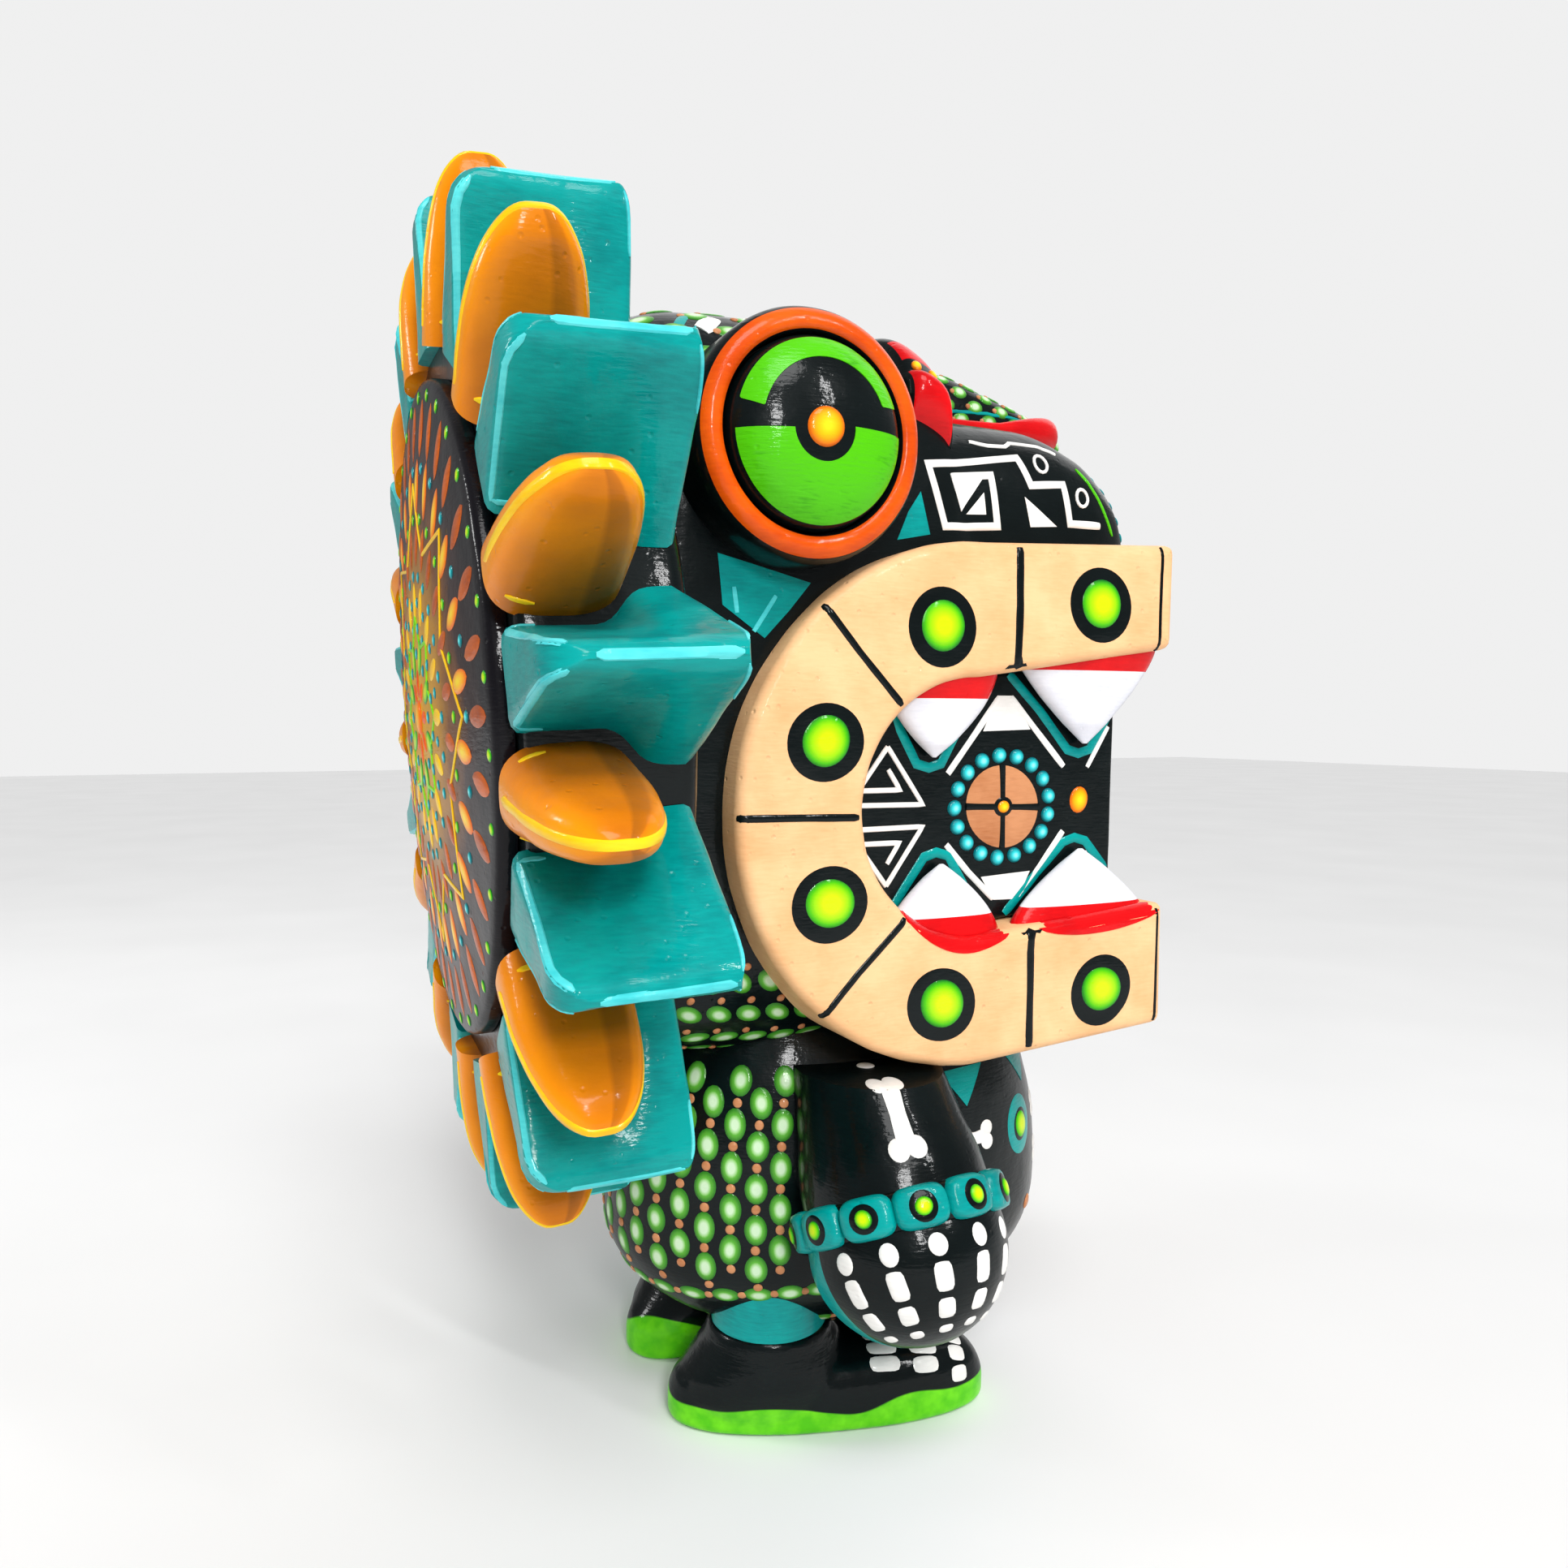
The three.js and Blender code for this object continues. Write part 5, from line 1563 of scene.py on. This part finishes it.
# ---------------------------------------------------------------- body
def torso_scales(paint, tree):
    """Staggered columns of green ovals and copper dots over the back, rings of them below."""
    columns = [k * SCALE_SPREAD + SCALE_START for k in range(1, 9)]
    for angle in [0.0] + [sign * c for c in columns for sign in (1, -1)]:
        row = round((abs(angle) - SCALE_START) / SCALE_SPREAD) % 2
        turn = math.radians(angle)
        for k in range(5):
            z = 91.0 - 10.2 * k - 5.1 * row
            for lift, half_u, half_v, look in ((0, 2.75, 3.9, "scale"), (-5.1, 1.15, 1.2, "copper")):
                origin = at(TORSO_FORWARD, 0, z + lift)
                toward = at(TORSO_FORWARD - RAY * math.cos(turn), RAY * math.sin(turn), z + lift)
                paint.dot(local_skin(tree, origin, toward, UP), 0, 0, half_u, half_v, look, 0.45)
    origin = at(TORSO_FORWARD, 0, TORSO_UP)
    for elevation, count, half in LOW_SCALES:
        slope = math.radians(elevation)
        for k in range(count):
            for offset, half_u, half_v, look in ((0, half, 2.3, "scale"), (0.5, 1.15, 1.1, "copper")):
                turn = math.radians(lerp(-62, 62, (k + offset) / (count - 1)))
                level = RAY * math.cos(slope)
                toward = origin + raw(
                    -math.cos(turn) * level, math.sin(turn) * level, RAY * math.sin(slope))
                paint.dot(local_skin(tree, origin, toward, UP), 0, 0, half_u, half_v, look, 0.45)


def bone(paint, skin, length, width):
    """A long bone with two knobs at each end, standing along the skin's up axis."""
    half = length / 2 - width * 0.45
    wide, waist = width * 0.42, width * 0.34
    shape = [(-wide, -half), (-waist, 0), (-wide, half), (wide, half), (waist, 0), (wide, -half)]
    paint.patch(skin, shape, "white", rise=0.3, step=1.5, edge_step=1.2)
    for u in (-1, 1):
        for v in (-1, 1):
            paint.dot(skin, u * width * 0.38, v * half, width * 0.46, width * 0.5, "white", 0.42,
                      shares=FLAT_SHARES)


def chest_marks(paint, tree):
    """Ribs, ringed dots and teal wedges across the front of the torso."""
    def chest(angle, up):
        turn = math.radians(angle)
        origin = at(TORSO_FORWARD, 0, up)
        toward = at(TORSO_FORWARD + RAY * math.cos(turn), RAY * math.sin(turn), up)
        return local_skin(tree, origin, toward, UP)

    for angle in (-37, 0, 37):
        skin = chest(angle, 69.5)
        paint.dot(skin, 0, 0, 7.6, 7.8, "teal", 0.3, sides=32)
        paint.dot(skin, 0, 0, 4.9, 5.1, "black", 0.5, sides=28)
        paint.dot(skin, 0, 0, 3.7, 3.9, "glow", 0.9, sides=24)
    for angle in (-60, -18.5, 18.5, 60):
        for up, length in ((71, 13), (57.5, 12)):
            skin = chest(angle, up)

            def lying(u, v, h, skin=skin):
                return skin(v, -u, h)

            bone(paint, lying, length, 4.6)
    for angle in (-62, -30, 0, 30, 62):
        paint.patch(chest(angle, 85.5), [(-8, 4), (8, 4), (0, -6)], "teal")
    for angle in (-30, 0, 30):
        paint.dot(chest(angle, 45), 0, 0, 2.2, 2.2, "copper", 0.6)


def build_torso():
    heights = [-math.cos(turn) for turn in steps(0, math.pi / 2, 30)[1:]]
    heights += steps(0, TORSO_CUT, 24)[1:]
    rings = []
    for height in heights:
        rise = TORSO_DOWN if height < 0 else TORSO_RISE
        slim = (1 - abs(height) ** TORSO_FULLNESS) ** (1 / TORSO_FULLNESS)
        ring = superellipse(
            130, TORSO_HALF_LENGTH * slim, TORSO_HALF_WIDTH * slim, TORSO_SQUARENESS)
        rings.append([at(TORSO_FORWARD + f, s, TORSO_UP + rise * height) for f, s in ring])
    tree = tree_of(lofted("black", rings).make("torso_skin", ["torso"], wobble=0.4))
    scales = Paint("scale")
    torso_scales(scales, tree)
    scales.make("torso_scales")
    marks = Paint("white")
    chest_marks(marks, tree)
    marks.make("chest_marks")


wrist_matrix = raw(0, 0, 1).normalized().rotation_difference(raw(*ARM_AXIS)).to_matrix().to_4x4()
wrist_matrix.translation = at(*WRIST)


def wrist_point(azimuth, radius, along):
    """A point round the arm axis; azimuth turns from forward toward the right."""
    return wrist_matrix @ raw(radius * math.cos(azimuth), radius * math.sin(azimuth), along)


def wrist_turned(look, profile, sides, **more):
    def place(angle, radius, along):
        return wrist_point(angle, max(radius, 0.01), along)

    return turned(look, profile, sides, place, **more)


ALONG_ARM = (wrist_matrix @ Vector((0, 0, 1)) - wrist_matrix.translation).normalized()


def build_arm():
    curve = smooth_curve(ARM_RINGS)
    profile = [(curve(along)[0], along) for along in steps(0, ARM_LENGTH, 40)]
    arm = wrist_turned("black", [(0, 0), *profile, (0, ARM_LENGTH)], 110)
    above = block((-90, -10, ARM_TOP), (130, 130, ARM_TOP + 80))
    right = arm.make("arm_skin_right", ["arm_right"], wobble=0.35, crease=50,
                     cuts=[("DIFFERENCE", above)])
    mirror_cut = block((-90, -130, ARM_TOP), (130, 10, ARM_TOP + 80))
    arm.make("arm_skin_left", ["arm_left"], wobble=0.35, crease=50, mirrored=True,
             cuts=[("DIFFERENCE", mirror_cut)])
    tree = tree_of(right)
    marks = Paint("white")

    def arm_skin(azimuth, along):
        turn = math.radians(azimuth)
        return local_skin(tree, wrist_point(0, 0, along), wrist_point(turn, RAY, along), ALONG_ARM)

    bone(marks, arm_skin(104, 20.5), 21, 5.4)
    marks.dot(arm_skin(107, 34.5), 0, 0, 2.2, 2.2, "white")
    pair(marks, "arm_bones")


def tile(body, azimuth, half_wide):
    """A domed octagonal tile standing on the bracelet."""
    sides, levels = 40, 8
    outline = superellipse(sides, half_wide, PLAQUE_HALF_HEIGHT, 3.6)
    points, faces = [], []

    def place(u, v, h):
        return wrist_point(azimuth + u / BRACELET_BASE, BRACELET_BASE + h, v)

    points.append(place(0, 0, PLAQUE_RISE))
    for k in range(1, levels + 1):
        share = k / levels
        h = PLAQUE_RISE * (1 - share ** 5) ** 0.4
        points += [place(a * share, b * share, h) for a, b in outline]
    points += [place(a, b, -2) for a, b in outline]
    points.append(place(0, 0, -2))
    last = len(points) - 1
    for i in range(sides):
        j = (i + 1) % sides
        faces.append((0, 1 + i, 1 + j))
        for k in range(levels):
            a, b = 1 + k * sides + i, 1 + k * sides + j
            faces.append((a, a + sides, b + sides, b))
        faces.append((1 + levels * sides + i, last, 1 + levels * sides + j))
    body.add(points, faces)


def build_bracelet():
    shoulder = BRACELET_BASE - BRACELET_BEVEL
    bevel = BRACELET_HALF - BRACELET_BEVEL
    profile = [
        (0, -BRACELET_HALF), (shoulder, -BRACELET_HALF), (BRACELET_BASE, -bevel),
        (BRACELET_BASE, 0), (BRACELET_BASE, bevel), (shoulder, BRACELET_HALF), (0, BRACELET_HALF),
    ]
    band = wrist_turned("black", profile, 120)
    tiles = Body("teal")
    step = math.tau / PLAQUES
    turns = [PLAQUE_TURN + k * step for k in range(PLAQUES)]
    for turn in turns:
        tile(tiles, turn, BRACELET_RADIUS * step / 2 - PLAQUE_GAP)
    pair(band, "bracelet_band", ["bracelet"], crease=50)
    tree = tree_of(pair(tiles, "bracelet_tiles", ["bracelet"], wobble=0.2, crease=50))
    dots = Paint("glow")
    for turn in turns:
        skin = local_skin(tree, wrist_point(turn, 50, 0), wrist_point(turn, 10, 0), ALONG_ARM)
        dots.dot(skin, 0, 0, 3.3, 3.3, "black", 0.25, sides=24)
        dots.dot(skin, 0, 0, 2.1, 2.1, "glow", 0.8, sides=20)
    pair(dots, "bracelet_dots")


def build_hand():
    profile = [
        (HAND_RADIUS * math.sin(t), -HAND_DROP - HAND_HALF_LENGTH * math.cos(t))
        for t in steps(0, math.pi, HAND_STEPS)
    ]
    sides = 120

    def colour(i):
        turn = 360 * (i % sides) / sides
        return "teal" if 176 < turn < 336 and i < HAND_STEPS * sides * 0.86 else "black"

    hand = wrist_turned("black", profile, sides, by_face=colour)
    tree = tree_of(pair(hand, "hand_skin", ["hand"], wobble=0.35, crease=60))
    marks = Paint("white")
    middle = wrist_point(0, 0, -HAND_DROP)
    for finger in range(FINGERS):
        turn = math.radians(FIRST_FINGER - FINGER_SPREAD * finger)
        for latitude, half_u, half_v, squareness in FINGER_BONES:
            slope = math.radians(latitude)
            reach = RAY * math.cos(slope)
            toward = wrist_point(turn, reach, -HAND_DROP + RAY * math.sin(slope))
            skin = local_skin(tree, middle, toward, ALONG_ARM)
            marks.dot(skin, 0, 0, half_u, half_v, "white", 0.4, squareness=squareness)
    pair(marks, "hand_bones")


def build_leg():
    def place(angle, radius, up):
        return at(ANKLE[0] + radius * math.cos(angle), ANKLE[1] + radius * math.sin(angle), up)

    pair(turned("teal", LEG_RINGS, 96, place), "leg_skin", ["leg"], wobble=0.3, crease=50)


def shoe_point(along, across, up):
    cosine, sine = math.cos(SHOE_TURN), math.sin(SHOE_TURN)
    return at(SHOE[0] + along * cosine - across * sine,
              SHOE[1] + along * sine + across * cosine, up)


def level_sole(mesh):
    """Keeps the underside flat on the ground."""
    for vertex in mesh.vertices:
        vertex.co.z = max(vertex.co.z, 0.0)
    mesh.update()


def left_shoe(shoe):
    """The mirror image of the finished right shoe."""
    mesh = shoe.data.copy()
    for vertex in mesh.vertices:
        vertex.co.x = -vertex.co.x
    mesh.flip_normals()
    twin = new_object("shoe_skin_left", mesh)
    finish_shading(mesh, 40)
    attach(twin, "root")
    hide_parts("shoe_left")
    return twin


def build_shoe():
    curve = smooth_curve(SHOE_RINGS)
    rings = []
    for t in steps(0, 1, SHOE_STEPS):
        up = SHOE_TOP * (1 - (1 - t) ** 1.7)
        length, width, shift = curve(up)
        ring = superellipse(130, length, width, SHOE_SQUARENESS)
        rings.append([shoe_point(l + shift, w, up) for l, w in ring])
    skirt = [
        [shoe_point(SKIRT_BACK + back * math.cos(math.tau * i / 64),
                    wide * math.sin(math.tau * i / 64), z) for i in range(64)]
        for back, wide, z in SHOE_SKIRT
    ]
    shoe = lofted("shoe", rings).make(
        "shoe_skin_right", ["shoe_right"], crease=50, cuts=[("UNION", loft(skirt))])
    soften(shoe, 0.8, 5)
    carve_marks(shoe.data, 0.2)
    level_sole(shoe.data)
    finish_shading(shoe.data, 40)
    tree = tree_of(shoe)
    for piece in (shoe, left_shoe(shoe)):
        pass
    marks = Paint("white")
    forward = shoe_point(1, 0, 0) - shoe_point(0, 0, 0)
    for across in (14, 9, 4, -1, -6):
        for along, half_long in ((12.5, 3.9), (23.5, 3.7), (33, 2.6)):
            origin = shoe_point(along, across * 1.7, 46)
            skin = local_skin(tree, origin, shoe_point(along, across * 0.55, 4), forward)
            marks.dot(skin, 0, 0, 1.9, half_long, "white", 0.35, squareness=4)
    pair(marks, "toe_bones")


# ---------------------------------------------------------------- stage
def build_camera():
    back = Vector((
        -math.cos(CAMERA_AZIMUTH) * math.cos(CAMERA_RISE),
        math.sin(CAMERA_AZIMUTH) * math.cos(CAMERA_RISE),
        math.sin(CAMERA_RISE),
    ))
    lens = bpy.data.cameras.new("camera")
    lens.sensor_width = 36
    lens.lens = CAMERA_LENS
    lens.shift_x, lens.shift_y = CAMERA_SHIFT
    lens.clip_start = 0.01
    camera = new_object("camera", lens)
    camera.location = CAMERA_TARGET + back * CAMERA_DISTANCE
    camera.rotation_euler = (-back).to_track_quat("-Z", "Y").to_euler()
    bpy.context.scene.camera = camera


def add_lamp(name, place, size, watts):
    """A soft box that faces the middle of the figure."""
    lamp = bpy.data.lights.new(name, "AREA")
    lamp.shape = "RECTANGLE"
    lamp.size, lamp.size_y = size
    lamp.energy = watts
    holder = new_object(name, lamp)
    holder.location = place
    facing = Vector((0, 0, 0.15)) - Vector(place)
    holder.rotation_euler = facing.to_track_quat("-Z", "Y").to_euler()


def add_sun(name, place, strength, softness):
    lamp = bpy.data.lights.new(name, "SUN")
    lamp.energy = strength
    lamp.angle = math.radians(softness)
    holder = new_object(name, lamp)
    holder.rotation_euler = (-Vector(place)).to_track_quat("-Z", "Y").to_euler()


def build_floor():
    mesh = bpy.data.meshes.new("floor")
    corners = [(x * FLOOR_HALF, y * FLOOR_HALF, 0) for x, y in ((-1, -1), (1, -1), (1, 1), (-1, 1))]
    mesh.from_pydata(corners, [], [(0, 1, 2, 3)])
    paper = bpy.data.materials.new("paper")
    paper.use_nodes = True
    nodes = paper.node_tree.nodes
    shader = nodes["Principled BSDF"]
    shader.inputs["Roughness"].default_value = 1
    shader.inputs["Specular IOR Level"].default_value = 0
    grain = new_node(nodes, "TexNoise", {"Scale": 60})
    tint = ramp(nodes, [(0.2, (0.78, 0.78, 0.78, 1)), (0.8, (0.82, 0.82, 0.82, 1))])
    wire(paper.node_tree, [
        (grain.outputs["Fac"], tint.inputs["Fac"]),
        (tint.outputs["Color"], shader.inputs["Base Color"]),
    ])
    mesh.materials.append(paper)
    new_object("floor", mesh)


def build_world():
    """A grey background to the camera and a soft white light to everything else."""
    world = bpy.data.worlds.new("studio")
    world.use_nodes = True
    nodes = world.node_tree.nodes
    seen = nodes["Background"]
    seen.inputs["Color"].default_value = (0.87, 0.87, 0.87, 1)
    soft = new_node(nodes, "Background", {"Color": (1, 1, 1, 1), "Strength": 0.3})
    rays = new_node(nodes, "LightPath")
    mix = new_node(nodes, "MixShader")
    wire(world.node_tree, [
        (rays.outputs["Is Camera Ray"], mix.inputs[0]),
        (soft.outputs[0], mix.inputs[1]),
        (seen.outputs[0], mix.inputs[2]),
        (mix.outputs[0], nodes["World Output"].inputs["Surface"]),
    ])
    bpy.context.scene.world = world


def build_stage():
    build_floor()
    build_world()
    add_sun("overhead", (-0.75, 0.1, 1.0), 1.75, 30)
    add_sun("across", (0.6, -0.6, 0.8), 0.8, 60)
    add_lamp("window", (-0.85, 0.2, 0.52), (0.13, 0.16), 3)
    add_lamp("strip", (-0.75, -0.35, 0.75), (0.05, 0.25), 2)
    add_lamp("rear", (0.35, 0.85, 0.6), (0.2, 0.2), 2.5)
    bpy.context.scene.view_settings.view_transform = "Standard"


for build in (
    build_camera, build_stage, build_crest, build_head, build_lips, build_mouth, build_teeth,
    build_eyes, build_brow, build_nose, build_torso, build_arm, build_bracelet, build_hand,
    build_leg, build_shoe,
):
    build()
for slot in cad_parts["neck_dowel"].material_slots:
    slot.material = LOOKS["wood"]
